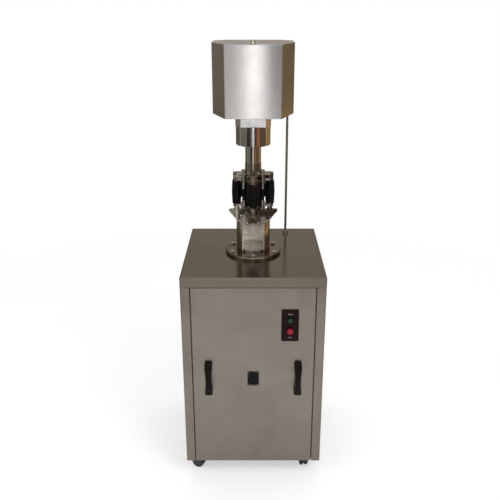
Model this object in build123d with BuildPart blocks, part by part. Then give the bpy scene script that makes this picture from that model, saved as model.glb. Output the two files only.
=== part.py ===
from build123d import *
import os
from math import cos, pi, radians, sin

# Semi-automatic cap sealing machine: a sheet steel cabinet on casters, a bottle nest
# on its work top and, above it, a spinning head with four spring-loaded roller arms,
# driven from a motor under a folded hood. All sizes are in millimetres.

# Cabinet
BODY_WIDTH = 550
BODY_DEPTH = 550
TABLE_Z = 900
BODY_BOTTOM = 72
SHEET = 1.5
BEND = 4
APRON = 40
SEAM = 1.5
SEAT = 0.3
FIT = 0.05

# Frame tubes and the deck that carries the head column
TUBE = 25
TUBE_WALL = 2
TUBE_CORNER = 4
TOP_RAIL = 50
DECK = 10
DECK_MARGIN = 12

# Front panel, a lift-off tray
PANEL_STRIP = 39
PANEL_DEPTH = 18
PANEL_GAP = 4

# Panel handles
HANDLE_X = 175
HANDLE_DROP = 429
HANDLE_LENGTH = 146
HANDLE_WIDTH = 29
HANDLE_WAIST = 20
HANDLE_REACH = 36
HANDLE_FOOT = 12
HANDLE_GRIP = 14
HANDLE_SPAN = 100
HANDLE_SCREW_INSET = 11
SCREW_HEAD_R = 4.5
SCREW_HEAD = 3
SCREW_R = 1.9

# Push-button station and plate
STATION_X = 140.6
STATION_DROP = 197
STATION_WIDTH = 66
STATION_HEIGHT = 130
STATION_THICK = 8
STATION_CORNER = 4
START_RISE = 26
STOP_DROP = 19
BUTTON_COLLAR_R = 15
BUTTON_COLLAR = 3
BUTTON_R = 10
STOP_R = 12
BUTTON_STEM_R = 5
BUTTON_PROUD = 5
STOP_PROUD = 9
BUTTON_TRAVEL = 3
CONTACT_WIDTH = 46
CONTACT_HEIGHT = 96
CONTACT_DEPTH = 42
PLATE_WIDTH = 45
PLATE_HEIGHT = 63
PLATE_DROP = 432
PLATE_THICK = 1.5

# Twin-wheel casters
CASTER_X = 215
CASTER_INSET = 54
CASTER_TRAIL = 17
CASTER_PLATE = 48
CASTER_PLATE_THICK = 3
CASTER_PIN_R = 5
WHEEL_R = 25
WHEEL_WIDTH = 12
WHEEL_GAP = 7
WHEEL_ROUND = 3
AXLE_R = 3
HOOD_RIM = 2.5
HOOD_RIM_GAP = 1.5
CASTER_NECK_R = 11
CASTER_TURNS = {"front_left": 68, "front_right": 8, "rear_left": 150, "rear_right": 200}

# Bottle nest and its lift
NEST_FLANGE_R = 113
NEST_FLANGE = 12
NEST_R = 67.5
NEST_WALL = 5
NEST_TOP = 138
NEST_OPENING = 84
NEST_BOLT_PCR = 96
NEST_BOLTS = 6
NEST_BOLT_START = 30
BOLT_HEAD_AF = 17
BOLT_HEAD = 7
BOLT_R = 5
PLATFORM_R = 55
PLATFORM = 9
RECESS_R = 39
RECESS = 2
STEM_R = 12.5
LIFT_TRAVEL = 30
BUSH_R = 18
BUSH_FLANGE_R = 28
BUSH_FLANGE = 5
BUSH_LENGTH = 68

# Lift cam under the deck: a uniform rise over part of a turn
CAM_DROP = 250
CAM_BASE_R = 35
CAM_RISE_DEG = 150
CAM_THICK = 16
CAM_HUB_R = 20
CAM_HUB = 34
CAM_POINTS = 24
CAMSHAFT_R = 12
TAPPET_R = 22
TAPPET = 10
HANGER_SPAN = 92
HANGER_THICK = 8
HANGER_DEPTH = 130
HANGER_BELOW = 60
HANGER_FOOT = 30
GEARBOX_WIDTH = 60
GEARBOX_DEPTH = 110
GEARBOX_HEIGHT = 120
GEARBOX_EDGE = 10
GEAR_MOTOR_R = 52
GEAR_MOTOR_LENGTH = 160
GEAR_MOTOR_FINS = 24

# Rear column, bracket and wiring conduit
COLUMN_BACK = 155
COLUMN_R = 30
COLUMN_WALL = 6
COLLAR_R = 41
COLLAR = 16
CONDUIT_X = 142
CONDUIT_BACK = 215
CONDUIT_R = 5
CONDUIT_WALL = 1
CONDUIT_BEND = 25
CONDUIT_LEVEL = 593
CONDUIT_RUN = 68
CONDUIT_CLEAR = 2
GLAND_AF = 19
GLAND = 12
SADDLE = 14
SADDLE_AT = 54
CABLE_GLAND_REACH = 18
CABLE_GLAND_R = 11
CABLE_GLAND_X = 170
CABLE_GLAND_Z = 180

# Head, heights above the work top
HOUSING_R = 67
HOUSING_BOTTOM = 445
HOUSING_EDGE = 2
NECK_BOTTOM = 520
NECK_TOP = 563
NECK_FACE = 95
NECK_WIDTH = 136
NECK_FRONT = 62
NECK_SHOULDER = 25
NECK_BACK = 30
CLAMP_BOSS_R = 48
CLAMP_SLOT = 4
CLAMP_BOLT_INSET = 12
ARM_RIB = 9
ARM_POCKET = 28
SPIGOT_R = 39
SPIGOT_TOP = 650
HOUSING_BORE_R = 24
BEARING_R = 31
BEARING_WIDTH = 16
BEARING_RACE = 5
BEARING_SEAL = 1
SPINDLE_R = 31
SPINDLE_BOTTOM = 373
SPINDLE_STEP_R = 18
SHAFT_R = 15
BEARING_RECESS = 5
ADAPTOR_R = 32
ADAPTOR_FLARE_R = 39
ADAPTOR_FLARE = 6
ADAPTOR_BOTTOM = 325
ADAPTOR_POCKET_R = 24
ADAPTOR_POCKET = 5
SPIDER_FLANGE = 8

# Spinning head
PIVOT_RADIUS = 66
PIVOT_R = 7
LOBE_R = 14
SPIDER_R = 45
SPIDER_BORE_R = 26
SPIDER = 10
SPIDER_BOSS = 6
SPIDER_BOSS_R = 10.5
LOWER_SPIDER = 195
UPPER_SPIDER = 302
STAY_RADIUS = 52
STAY_R = 6
STAY_LOBE_R = 10
CORE_R = 45
CORE_NECK_R = 36
CORE_NECK = 23
CORE_BORE_R = 30
CORE_GUIDE = 18
SPRING_R = 19
SPRING_BORE_R = 11
SPRING_BELLY = 2
SPRING_TURNS = 16

# Roller arms, levers, rollers and the pressing chuck
ARM_BOTTOM = 156
ARM = 25
HUB_BOTTOM = 140
ARM_EYE_R = 9
HEEL_REACH = 97
HEEL_TIP = 10
HEEL_NOSE = 8
ROLLER_RADIUS = 30
ROLLER_ANGLE = -50
ROLLER_R = 12
ROLLER_BOTTOM = 124
ROLLER = 10
ROLLER_LIP = 2.5
ROLLER_BORE_R = 4
ROLLER_GAP = 0.3
PIN_HEAD_R = 6.5
PIN_HEAD = 3
LEVER_BOTTOM = 314
LEVER = 9
LEVER_BOSS = 1
LEVER_TIP_RADIUS = 26
LEVER_TIP_ANGLE = 35
LEVER_TIP_R = 6
ARM_SWING = 5
CHUCK_TRAVEL = 12
CHUCK_R = 17
CHUCK_BOTTOM = 129
CHUCK_BLOCK = 14
CAP_RECESS_R = 14.3
CAP_RECESS = 8
CHUCK_STEM_R = 11
CONE_GAP = 0.5
CONE_TOP = 316
CONE_BOTTOM = UPPER_SPIDER + SEAT

# Hood and the drive under it
HOOD_FACE = 206
HOOD_WIDTH = 308
HOOD_FRONT = 132
HOOD_BACK = 200
HOOD_TOP = 822
HOOD_BEND = 3
BASE_PLATE = 8
STUD_FRONT = 98
STUD_R = 6
STUD_TIP_R = 4
STUD_TIP = 9
ACORN_R = 8
MOTOR_X = 88
MOTOR_BACK = 58
MOTOR_R = 50
MOTOR_FIN = 5
MOTOR_FIN_THICK = 2.5
MOTOR_FINS = 24
MOTOR_HEIGHT = 100
MOTOR_CAP = 12
MOTOR_SHAFT_R = 7
MOTOR_SHAFT_DEPTH = 40
PULLEY_BOTTOM = 690
PULLEY = 22
PULLEY_RIM = 4
SPINDLE_PULLEY_R = 60
MOTOR_PULLEY_R = 30
GROOVE_DEPTH = 9
GROOVE_SLOPE = 3
BELT_THICK = 7

# Places worked out from the sizes
BODY_Y = (HANDLE_REACH - CABLE_GLAND_REACH) / 2
FRONT_Y = BODY_Y - BODY_DEPTH / 2
BACK_Y = BODY_Y + BODY_DEPTH / 2
INNER_X = BODY_WIDTH / 2 - SHEET
INNER_Y = BODY_DEPTH / 2 - SHEET
DECK_TOP = TABLE_Z - SHEET
DECK_BOTTOM = DECK_TOP - DECK
RING_BOTTOM = BODY_BOTTOM + SHEET
PANEL_WIDTH = BODY_WIDTH - 2 * PANEL_STRIP
PANEL_TOP = TABLE_Z - APRON - SEAM
RAIL_SETBACK = PANEL_DEPTH + SEAT + TUBE / 2
BASE_TOP = NECK_TOP + BASE_PLATE
CAM_RATE = LIFT_TRAVEL / radians(CAM_RISE_DEG)
CAM_Z = TABLE_Z - CAM_DROP

FRONT = Plane(origin=(0, FRONT_Y, 0), x_dir=(1, 0, 0), z_dir=(0, -1, 0))


def save(piece, name):
    """Label a finished piece and write it to its own file."""
    piece.part.label = name
    export_step(piece.part, f"parts/{name}.step")


def body_level(z):
    """A level plane centred on the cabinet, z above the floor."""
    return Plane((0, BODY_Y, z))


def head_level(height, angle=0):
    """A level plane on the head axis, turned by an angle, at a height above the work top."""
    turn = radians(angle)
    return Plane(
        origin=(0, BODY_Y, TABLE_Z + height), x_dir=(cos(turn), sin(turn), 0), z_dir=(0, 0, 1)
    )


def polar(radius, angle):
    """A point in a plane from its radius and its angle in degrees."""
    return (radius * cos(radians(angle)), radius * sin(radians(angle)))


def turned(points):
    """Revolve a profile of (radius, height above the work top) about the head axis."""
    with BuildPart() as piece:
        with BuildSketch(Plane(origin=(0, BODY_Y, TABLE_Z), x_dir=(1, 0, 0), z_dir=(0, -1, 0))):
            with BuildLine():
                Polyline(points, close=True)
            make_face()
        revolve(axis=Axis((0, BODY_Y, 0), (0, 0, 1)))
    return piece


# Frame


def frame_tubes():
    """Four posts on a base ring of tubes, with a ring under the deck."""
    post_x = INNER_X - TUBE / 2
    post_y = INNER_Y - TUBE / 2
    side_length = 2 * (INNER_Y - BEND)
    cross_length = 2 * (INNER_X - TUBE)
    front_rail_y = BODY_DEPTH / 2 - RAIL_SETBACK
    post_bottom = RING_BOTTOM + TUBE
    with BuildPart() as tubes:
        with BuildSketch(body_level(post_bottom)):
            with GridLocations(2 * post_x, 2 * post_y, 2, 2):
                RectangleRounded(TUBE, TUBE, TUBE_CORNER)
                Rectangle(TUBE - 2 * TUBE_WALL, TUBE - 2 * TUBE_WALL, mode=Mode.SUBTRACT)
        extrude(amount=DECK_BOTTOM - TUBE - post_bottom)
        for ring_z in (RING_BOTTOM + TUBE / 2, DECK_BOTTOM - TUBE / 2):
            side_plane = Plane(
                origin=(0, BODY_Y - side_length / 2, ring_z), x_dir=(-1, 0, 0), z_dir=(0, 1, 0)
            )
            with BuildSketch(side_plane):
                with Locations((post_x, 0), (-post_x, 0)):
                    Rectangle(TUBE, TUBE)
                    Rectangle(TUBE - 2 * TUBE_WALL, TUBE - 2 * TUBE_WALL, mode=Mode.SUBTRACT)
            extrude(amount=side_length)
        rails = (
            (-front_rail_y, RING_BOTTOM + TUBE / 2, TUBE),
            (post_y, RING_BOTTOM + TUBE / 2, TUBE),
            (-front_rail_y, DECK_BOTTOM - TOP_RAIL / 2, TOP_RAIL),
            (post_y, DECK_BOTTOM - TUBE / 2, TUBE),
        )
        for rail_y, rail_z, height in rails:
            cross_plane = Plane(
                origin=(-cross_length / 2, BODY_Y + rail_y, rail_z), x_dir=(0, 1, 0), z_dir=(1, 0, 0)
            )
            with BuildSketch(cross_plane):
                Rectangle(TUBE, height)
                Rectangle(TUBE - 2 * TUBE_WALL, height - 2 * TUBE_WALL, mode=Mode.SUBTRACT)
            extrude(amount=cross_length)
    save(tubes, "frame_tubes")


def body_shell():
    """Folded sheet round the sides and back, with a return and an inner fold each side of the panel."""
    opening = PANEL_WIDTH + 2 * PANEL_GAP
    with BuildPart() as shell:
        with BuildSketch(body_level(BODY_BOTTOM)):
            RectangleRounded(BODY_WIDTH, BODY_DEPTH, BEND)
            RectangleRounded(2 * INNER_X, 2 * INNER_Y, BEND - SHEET, mode=Mode.SUBTRACT)
            with Locations((0, -BODY_DEPTH / 2)):
                Rectangle(opening, 4 * SHEET, mode=Mode.SUBTRACT)
            for side in (-1, 1):
                with Locations((side * (opening / 2 + SHEET / 2), -BODY_DEPTH / 2 + PANEL_DEPTH / 2)):
                    Rectangle(SHEET, PANEL_DEPTH)
        extrude(amount=PANEL_TOP - BODY_BOTTOM)
        with BuildSketch(Plane(origin=(0, BACK_Y, 0), x_dir=(-1, 0, 0), z_dir=(0, 1, 0))):
            with Locations((-CABLE_GLAND_X, CABLE_GLAND_Z)):
                Circle(CABLE_GLAND_R - SHEET)
        extrude(amount=-2 * SHEET, mode=Mode.SUBTRACT)
    save(shell, "body_shell")


def floor_plate():
    """Bottom sheet under the base ring, behind the front panel's tray."""
    front = PANEL_DEPTH + SEAT
    depth = BODY_DEPTH - front - SHEET - SEAT
    with BuildPart() as plate:
        with BuildSketch(body_level(BODY_BOTTOM)):
            with Locations((0, -BODY_DEPTH / 2 + front + depth / 2)):
                RectangleRounded(2 * (INNER_X - SEAT), depth, BEND)
        extrude(amount=SHEET)
    save(plate, "floor_plate")


def deck_plate():
    """Thick plate on the top ring that takes the column, the nest and the lift drive."""
    with BuildPart() as deck:
        with BuildSketch(body_level(DECK_BOTTOM)):
            Rectangle(BODY_WIDTH - 2 * DECK_MARGIN, BODY_DEPTH - 2 * DECK_MARGIN)
            Circle(BUSH_R + FIT, mode=Mode.SUBTRACT)
            with Locations((0, COLUMN_BACK)):
                Circle(COLUMN_R + FIT, mode=Mode.SUBTRACT)
            with Locations((CONDUIT_X, CONDUIT_BACK)):
                Circle(CONDUIT_R + FIT, mode=Mode.SUBTRACT)
        extrude(amount=DECK)
    save(deck, "deck_plate")


def top_cover():
    """Polished work top with a folded apron on all four sides."""
    with BuildPart() as cover:
        with BuildSketch(body_level(TABLE_Z - APRON)):
            RectangleRounded(BODY_WIDTH, BODY_DEPTH, BEND)
        extrude(amount=APRON)
        fillet(cover.faces().sort_by(Axis.Z)[-1].edges(), radius=2 * SHEET)
        with BuildSketch(body_level(TABLE_Z - APRON)):
            RectangleRounded(2 * INNER_X, 2 * INNER_Y, BEND - SHEET)
        extrude(amount=APRON - SHEET, mode=Mode.SUBTRACT)
        with BuildSketch(body_level(TABLE_Z - 2 * SHEET)):
            Circle(STEM_R + 2)
            with Locations((0, COLUMN_BACK)):
                Circle(COLUMN_R + FIT)
            with Locations((CONDUIT_X, CONDUIT_BACK)):
                Circle(CONDUIT_R + FIT)
        extrude(amount=3 * SHEET, mode=Mode.SUBTRACT)
    save(cover, "top_cover")


# Front panel and what it carries


def front_panel():
    """Lift-off tray with its four edges folded back."""
    height = PANEL_TOP - BODY_BOTTOM
    middle = BODY_BOTTOM + height / 2
    with BuildPart() as panel:
        with BuildSketch(FRONT):
            with Locations((0, middle)):
                Rectangle(PANEL_WIDTH, height)
        extrude(amount=-PANEL_DEPTH)
        fillet(panel.faces().sort_by(Axis.Y)[0].edges(), radius=SHEET)
        with BuildSketch(FRONT.offset(-SHEET)):
            with Locations((0, middle)):
                Rectangle(PANEL_WIDTH - 2 * SHEET, height - 2 * SHEET)
        extrude(amount=-PANEL_DEPTH, mode=Mode.SUBTRACT)
        with BuildSketch(FRONT):
            for rise in (START_RISE, -STOP_DROP):
                with Locations((STATION_X, TABLE_Z - STATION_DROP + rise)):
                    Circle(BUTTON_STEM_R + 2 * SHEET)
            for side in (-1, 1):
                with Locations((side * HANDLE_X, TABLE_Z - HANDLE_DROP)):
                    with GridLocations(0, HANDLE_LENGTH - 2 * HANDLE_SCREW_INSET, 1, 2):
                        Circle(SCREW_R + FIT)
        extrude(amount=-2 * SHEET, mode=Mode.SUBTRACT)
    save(panel, "front_panel")


def panel_handle(side):
    """Moulded bridge handle: an arch seen from the side, waisted seen from the front."""
    x = side * HANDLE_X
    z = TABLE_Z - HANDLE_DROP
    half = HANDLE_LENGTH / 2
    side_plane = Plane(
        origin=(x - HANDLE_WIDTH / 2, FRONT_Y, z), x_dir=(0, -1, 0), z_dir=(1, 0, 0)
    )
    with BuildPart() as handle:
        with BuildSketch(side_plane):
            with BuildLine():
                Line((0, -half), (HANDLE_FOOT, -half))
                ThreePointArc((HANDLE_FOOT, -half), (HANDLE_REACH, 0), (HANDLE_FOOT, half))
                Polyline((HANDLE_FOOT, half), (0, half), (0, HANDLE_SPAN / 2))
                ThreePointArc(
                    (0, HANDLE_SPAN / 2), (HANDLE_REACH - HANDLE_GRIP, 0), (0, -HANDLE_SPAN / 2)
                )
                Line((0, -HANDLE_SPAN / 2), (0, -half))
            make_face()
        extrude(amount=HANDLE_WIDTH)
        with BuildSketch(Plane(origin=(x, FRONT_Y, z), x_dir=(1, 0, 0), z_dir=(0, -1, 0))):
            RectangleRounded(HANDLE_WIDTH, HANDLE_LENGTH, HANDLE_WIDTH / 4)
            for edge in (-1, 1):
                with BuildLine():
                    ThreePointArc(
                        (edge * HANDLE_WIDTH / 2, -HANDLE_SPAN / 2),
                        (edge * HANDLE_WAIST / 2, 0),
                        (edge * HANDLE_WIDTH / 2, HANDLE_SPAN / 2),
                    )
                    Line(
                        (edge * HANDLE_WIDTH / 2, HANDLE_SPAN / 2),
                        (edge * HANDLE_WIDTH / 2, -HANDLE_SPAN / 2),
                    )
                make_face(mode=Mode.SUBTRACT)
        extrude(amount=HANDLE_REACH, mode=Mode.INTERSECT)
        with BuildSketch(FRONT.offset(HANDLE_FOOT - SCREW_HEAD)):
            with Locations((x, z)):
                with GridLocations(0, HANDLE_LENGTH - 2 * HANDLE_SCREW_INSET, 1, 2):
                    Circle(SCREW_HEAD_R + SEAT)
        extrude(amount=HANDLE_REACH, mode=Mode.SUBTRACT)
        with BuildSketch(FRONT):
            with Locations((x, z)):
                with GridLocations(0, HANDLE_LENGTH - 2 * HANDLE_SCREW_INSET, 1, 2):
                    Circle(SCREW_R + FIT)
        extrude(amount=HANDLE_REACH, mode=Mode.SUBTRACT)
    save(handle, "handle_left" if side < 0 else "handle_right")


def handle_screws():
    """Four pan screws that pull the handles on to the panel."""
    seat = HANDLE_FOOT - SCREW_HEAD
    with BuildPart() as screws:
        for side in (-1, 1):
            place = (side * HANDLE_X, TABLE_Z - HANDLE_DROP)
            with BuildSketch(FRONT.offset(seat)):
                with Locations(place):
                    with GridLocations(0, HANDLE_LENGTH - 2 * HANDLE_SCREW_INSET, 1, 2):
                        Circle(SCREW_HEAD_R)
            extrude(amount=SCREW_HEAD)
            with BuildSketch(FRONT.offset(-2 * SHEET)):
                with Locations(place):
                    with GridLocations(0, HANDLE_LENGTH - 2 * HANDLE_SCREW_INSET, 1, 2):
                        Circle(SCREW_R)
            extrude(amount=seat + 2 * SHEET)
    save(screws, "handle_screws")


def switch_plate():
    """Moulded face of the push-button station, with a collar round each button."""
    middle = TABLE_Z - STATION_DROP
    rises = (START_RISE, -STOP_DROP)
    with BuildPart() as plate:
        with BuildSketch(FRONT):
            with Locations((STATION_X, middle)):
                RectangleRounded(STATION_WIDTH, STATION_HEIGHT, STATION_CORNER)
        extrude(amount=STATION_THICK)
        fillet(plate.faces().sort_by(Axis.Y)[0].edges(), radius=SHEET)
        with BuildSketch(FRONT.offset(STATION_THICK)):
            for rise in rises:
                with Locations((STATION_X, middle + rise)):
                    Circle(BUTTON_COLLAR_R)
        extrude(amount=BUTTON_COLLAR)
        with BuildSketch(FRONT):
            for rise in rises:
                with Locations((STATION_X, middle + rise)):
                    Circle(BUTTON_STEM_R + SEAT)
        extrude(amount=STATION_THICK, mode=Mode.SUBTRACT)
        with BuildSketch(FRONT.offset(STATION_THICK - BUTTON_TRAVEL - 2 * SEAT)):
            for rise in rises:
                with Locations((STATION_X, middle + rise)):
                    Circle(STOP_R + SEAT)
        extrude(amount=STATION_THICK, mode=Mode.SUBTRACT)
    save(plate, "switch_plate")


def push_button(name, rise, radius, proud):
    """Round cap on a stem that reaches through the panel to the contact block."""
    seat = STATION_THICK - SEAT
    place = (STATION_X, TABLE_Z - STATION_DROP + rise)
    with BuildPart() as button:
        with BuildSketch(FRONT.offset(seat)):
            with Locations(place):
                Circle(radius)
        extrude(amount=BUTTON_COLLAR + proud)
        fillet(button.faces().sort_by(Axis.Y)[0].edges(), radius=SHEET)
        with BuildSketch(FRONT.offset(-SHEET - BUTTON_COLLAR)):
            with Locations(place):
                Circle(BUTTON_STEM_R)
        extrude(amount=seat + SHEET + BUTTON_COLLAR)
    save(button, name)


def contact_block():
    """Contact housing behind the panel, bored for the two stems."""
    middle = TABLE_Z - STATION_DROP
    with BuildPart() as block:
        with BuildSketch(FRONT.offset(-SHEET)):
            with Locations((STATION_X, middle)):
                RectangleRounded(CONTACT_WIDTH, CONTACT_HEIGHT, STATION_CORNER)
        extrude(amount=-CONTACT_DEPTH)
        with BuildSketch(FRONT.offset(-SHEET)):
            for rise in (START_RISE, -STOP_DROP):
                with Locations((STATION_X, middle + rise)):
                    Circle(BUTTON_STEM_R + SEAT)
        extrude(amount=-CONTACT_DEPTH / 2, mode=Mode.SUBTRACT)
    save(block, "contact_block")


def name_plate():
    """Blank plate on the middle of the panel."""
    with BuildPart() as plate:
        with BuildSketch(FRONT):
            with Locations((0, TABLE_Z - PLATE_DROP)):
                RectangleRounded(PLATE_WIDTH, PLATE_HEIGHT, 2 * SHEET)
        extrude(amount=PLATE_THICK)
    save(plate, "name_plate")


# Casters


def caster(name, x, y, turn):
    """Hooded swivel on its pin, and two wheels pressed on one axle, trailing at an angle."""
    axle_dir = Vector(cos(radians(turn)), sin(radians(turn)), 0)
    trail_dir = Vector(-sin(radians(turn)), cos(radians(turn)), 0)
    centre = Vector(x, y, WHEEL_R) + trail_dir * CASTER_TRAIL
    half = WHEEL_GAP / 2 + WHEEL_WIDTH
    inner = WHEEL_R + HOOD_RIM_GAP
    neck_top = BODY_BOTTOM - CASTER_PLATE_THICK - SEAT
    with BuildPart() as hood:
        with BuildSketch(Plane(origin=centre - axle_dir * half, x_dir=trail_dir, z_dir=axle_dir)):
            Circle(inner + HOOD_RIM)
            Circle(inner, mode=Mode.SUBTRACT)
            with Locations((0, -inner)):
                Rectangle(4 * WHEEL_R, 2 * inner, mode=Mode.SUBTRACT)
        extrude(amount=2 * half)
        web_start = centre - axle_dir * (WHEEL_GAP / 2 - HOOD_RIM_GAP)
        with BuildSketch(Plane(origin=web_start, x_dir=trail_dir, z_dir=axle_dir)):
            Circle(inner)
            Circle(AXLE_R + FIT, mode=Mode.SUBTRACT)
            with Locations((0, -inner)):
                Rectangle(4 * WHEEL_R, 2 * (inner - 2 * AXLE_R), mode=Mode.SUBTRACT)
        extrude(amount=WHEEL_GAP - 2 * HOOD_RIM_GAP)
        with BuildSketch(Plane((x, y, WHEEL_R + WHEEL_R))):
            Circle(CASTER_NECK_R)
        extrude(amount=neck_top - 2 * WHEEL_R)
        with BuildSketch(Plane((x, y, neck_top - 3 * CASTER_PIN_R))):
            Circle(CASTER_PIN_R + FIT)
        extrude(amount=neck_top, mode=Mode.SUBTRACT)
        with BuildSketch(Plane(origin=centre - axle_dir * half, x_dir=trail_dir, z_dir=axle_dir)):
            Circle(AXLE_R + FIT)
        extrude(amount=2 * half, mode=Mode.SUBTRACT)
    save(hood, f"caster_hood_{name}")

    with BuildPart() as wheels:
        for side in (-1, 1):
            start = centre + axle_dir * (side * WHEEL_GAP / 2)
            with BuildSketch(Plane(origin=start, x_dir=trail_dir, z_dir=axle_dir * side)):
                Circle(WHEEL_R)
            extrude(amount=WHEEL_WIDTH)
        rims = wheels.edges().filter_by(GeomType.CIRCLE)
        fillet(rims, radius=WHEEL_ROUND)
        with BuildSketch(Plane(origin=centre - axle_dir * half, x_dir=trail_dir, z_dir=axle_dir)):
            Circle(AXLE_R)
        extrude(amount=2 * half)
    save(wheels, f"caster_wheels_{name}")


def caster_places():
    """Swivel points of the four casters with their names."""
    front = FRONT_Y + CASTER_INSET
    rear = BACK_Y - CASTER_INSET
    return {
        "front_left": (-CASTER_X, front),
        "front_right": (CASTER_X, front),
        "rear_left": (-CASTER_X, rear),
        "rear_right": (CASTER_X, rear),
    }


def caster_plates():
    """Four mounting plates, each with its swivel pin."""
    with BuildPart() as plates:
        for x, y in caster_places().values():
            with BuildSketch(Plane((x, y, BODY_BOTTOM - CASTER_PLATE_THICK))):
                RectangleRounded(CASTER_PLATE, CASTER_PLATE, TUBE_CORNER)
            extrude(amount=CASTER_PLATE_THICK)
            with BuildSketch(Plane((x, y, BODY_BOTTOM - CASTER_PLATE_THICK - 2 * CASTER_PIN_R))):
                Circle(CASTER_PIN_R)
            extrude(amount=2 * CASTER_PIN_R)
    save(plates, "caster_plates")


# Bottle nest, lift and cam


def bottle_nest():
    """Turned flange with a half shell open to the operator."""
    with BuildPart() as nest:
        with BuildSketch(head_level(0)):
            Circle(NEST_FLANGE_R)
            Circle(STEM_R + 2, mode=Mode.SUBTRACT)
            with PolarLocations(NEST_BOLT_PCR, NEST_BOLTS, start_angle=NEST_BOLT_START):
                Circle(BOLT_R + FIT, mode=Mode.SUBTRACT)
        extrude(amount=NEST_FLANGE)
        rim = nest.faces().sort_by(Axis.Z)[-1].edges().sort_by(SortBy.RADIUS)[-1]
        chamfer(rim, length=2 * SHEET)
        with BuildSketch(head_level(NEST_FLANGE)):
            Circle(NEST_R)
            Circle(NEST_R - NEST_WALL, mode=Mode.SUBTRACT)
            half = NEST_OPENING / 2
            far = 2 * NEST_R
            with BuildLine():
                Polyline((0, 0), polar(far, -90 - half), polar(far, -90 + half), close=True)
            make_face(mode=Mode.SUBTRACT)
        extrude(amount=NEST_TOP - NEST_FLANGE)
    save(nest, "bottle_nest")


def hex_bolts():
    """Flange bolts of the nest and the two clamp bolts of the bracket."""
    bracket_back = COLUMN_BACK + CLAMP_BOSS_R
    clamp_y = bracket_back - CLAMP_BOLT_INSET
    clamp_half = 2 * CLAMP_BOLT_INSET
    with BuildPart() as bolts:
        with BuildSketch(head_level(NEST_FLANGE)):
            with PolarLocations(NEST_BOLT_PCR, NEST_BOLTS, start_angle=NEST_BOLT_START):
                RegularPolygon(BOLT_HEAD_AF / 2, 6, major_radius=False)
        extrude(amount=BOLT_HEAD)
        with BuildSketch(head_level(SHEET)):
            with PolarLocations(NEST_BOLT_PCR, NEST_BOLTS, start_angle=NEST_BOLT_START):
                Circle(BOLT_R)
        extrude(amount=NEST_FLANGE - SHEET)
        third = (NECK_TOP - NECK_BOTTOM) / 3
        for level in (NECK_BOTTOM + third, NECK_TOP - third):
            place = (0, BODY_Y + clamp_y, TABLE_Z + level)
            clamp_plane = Plane(origin=place, x_dir=(0, 1, 0), z_dir=(1, 0, 0))
            with BuildSketch(clamp_plane.offset(clamp_half)):
                RegularPolygon(BOLT_HEAD_AF / 3, 6, major_radius=False)
            extrude(amount=BOLT_HEAD)
            with BuildSketch(clamp_plane.offset(-clamp_half)):
                Circle(BOLT_R - 1)
            extrude(amount=2 * clamp_half)
    save(bolts, "hex_bolts")


def lift_platform():
    """Bottle platform, its stem and the flat tappet foot that rides the cam."""
    bottom = NEST_FLANGE + 1
    foot = CAM_BASE_R + SEAT - CAM_DROP
    top = bottom + PLATFORM
    platform = turned(
        [
            (0, foot),
            (TAPPET_R, foot),
            (TAPPET_R, foot + TAPPET),
            (STEM_R, foot + TAPPET),
            (STEM_R, bottom),
            (PLATFORM_R, bottom),
            (PLATFORM_R, top),
            (RECESS_R, top),
            (RECESS_R, top - RECESS),
            (0, top - RECESS),
        ]
    )
    save(platform, "lift_platform")


def guide_bush():
    """Flanged bronze bush in the deck that guides the lift stem."""
    top = -SHEET
    flange = DECK_BOTTOM - TABLE_Z - FIT
    bore = STEM_R + FIT
    bush = turned(
        [
            (bore, top - BUSH_LENGTH),
            (BUSH_R, top - BUSH_LENGTH),
            (BUSH_R, flange - BUSH_FLANGE),
            (BUSH_FLANGE_R, flange - BUSH_FLANGE),
            (BUSH_FLANGE_R, flange),
            (BUSH_R, flange),
            (BUSH_R, top),
            (bore, top),
        ]
    )
    save(bush, "guide_bush")


def cam_reach(turn):
    """Distance of the cam's tangent from its axis, and its rate, after a turn in radians."""
    rise_end = radians(CAM_RISE_DEG)
    if turn <= rise_end:
        return CAM_BASE_R + CAM_RATE * turn, CAM_RATE
    span = 2 * pi - rise_end
    t = (turn - rise_end) / span
    start = CAM_BASE_R + LIFT_TRAVEL
    fall = 3 * t**2 - 2 * t**3
    ease = (t - 3 * t**2 + 2 * t**3) * span * CAM_RATE
    rate = (6 * t - 6 * t**2) * -LIFT_TRAVEL / span + (1 - 6 * t + 6 * t**2) * CAM_RATE
    return start - LIFT_TRAVEL * fall + ease, rate


def cam_point(index):
    """Point of the cam's edge whose tangent meets the flat tappet at a share of the turn."""
    turn = 2 * pi * index / CAM_POINTS
    reach, rate = cam_reach(turn)
    facing = pi / 2 - turn
    return (
        reach * cos(facing) + rate * sin(facing),
        reach * sin(facing) - rate * cos(facing),
    )


def lift_cam():
    """Uniform-rise cam on its shaft."""
    shaft_start = -HANGER_SPAN / 2 - HANGER_THICK
    shaft_end = HANGER_SPAN / 2 + HANGER_THICK + GEARBOX_WIDTH
    axis_plane = Plane(origin=(0, BODY_Y, CAM_Z), x_dir=(0, 1, 0), z_dir=(1, 0, 0))
    with BuildPart() as cam:
        with BuildSketch(axis_plane.offset(-CAM_THICK / 2)):
            with BuildLine():
                Spline([cam_point(index) for index in range(CAM_POINTS)], periodic=True)
            make_face()
        extrude(amount=CAM_THICK)
        with BuildSketch(axis_plane.offset(-CAM_HUB / 2)):
            Circle(CAM_HUB_R)
        extrude(amount=CAM_HUB)
        with BuildSketch(axis_plane.offset(shaft_start)):
            Circle(CAMSHAFT_R)
        extrude(amount=shaft_end - shaft_start)
    save(cam, "lift_cam")


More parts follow.
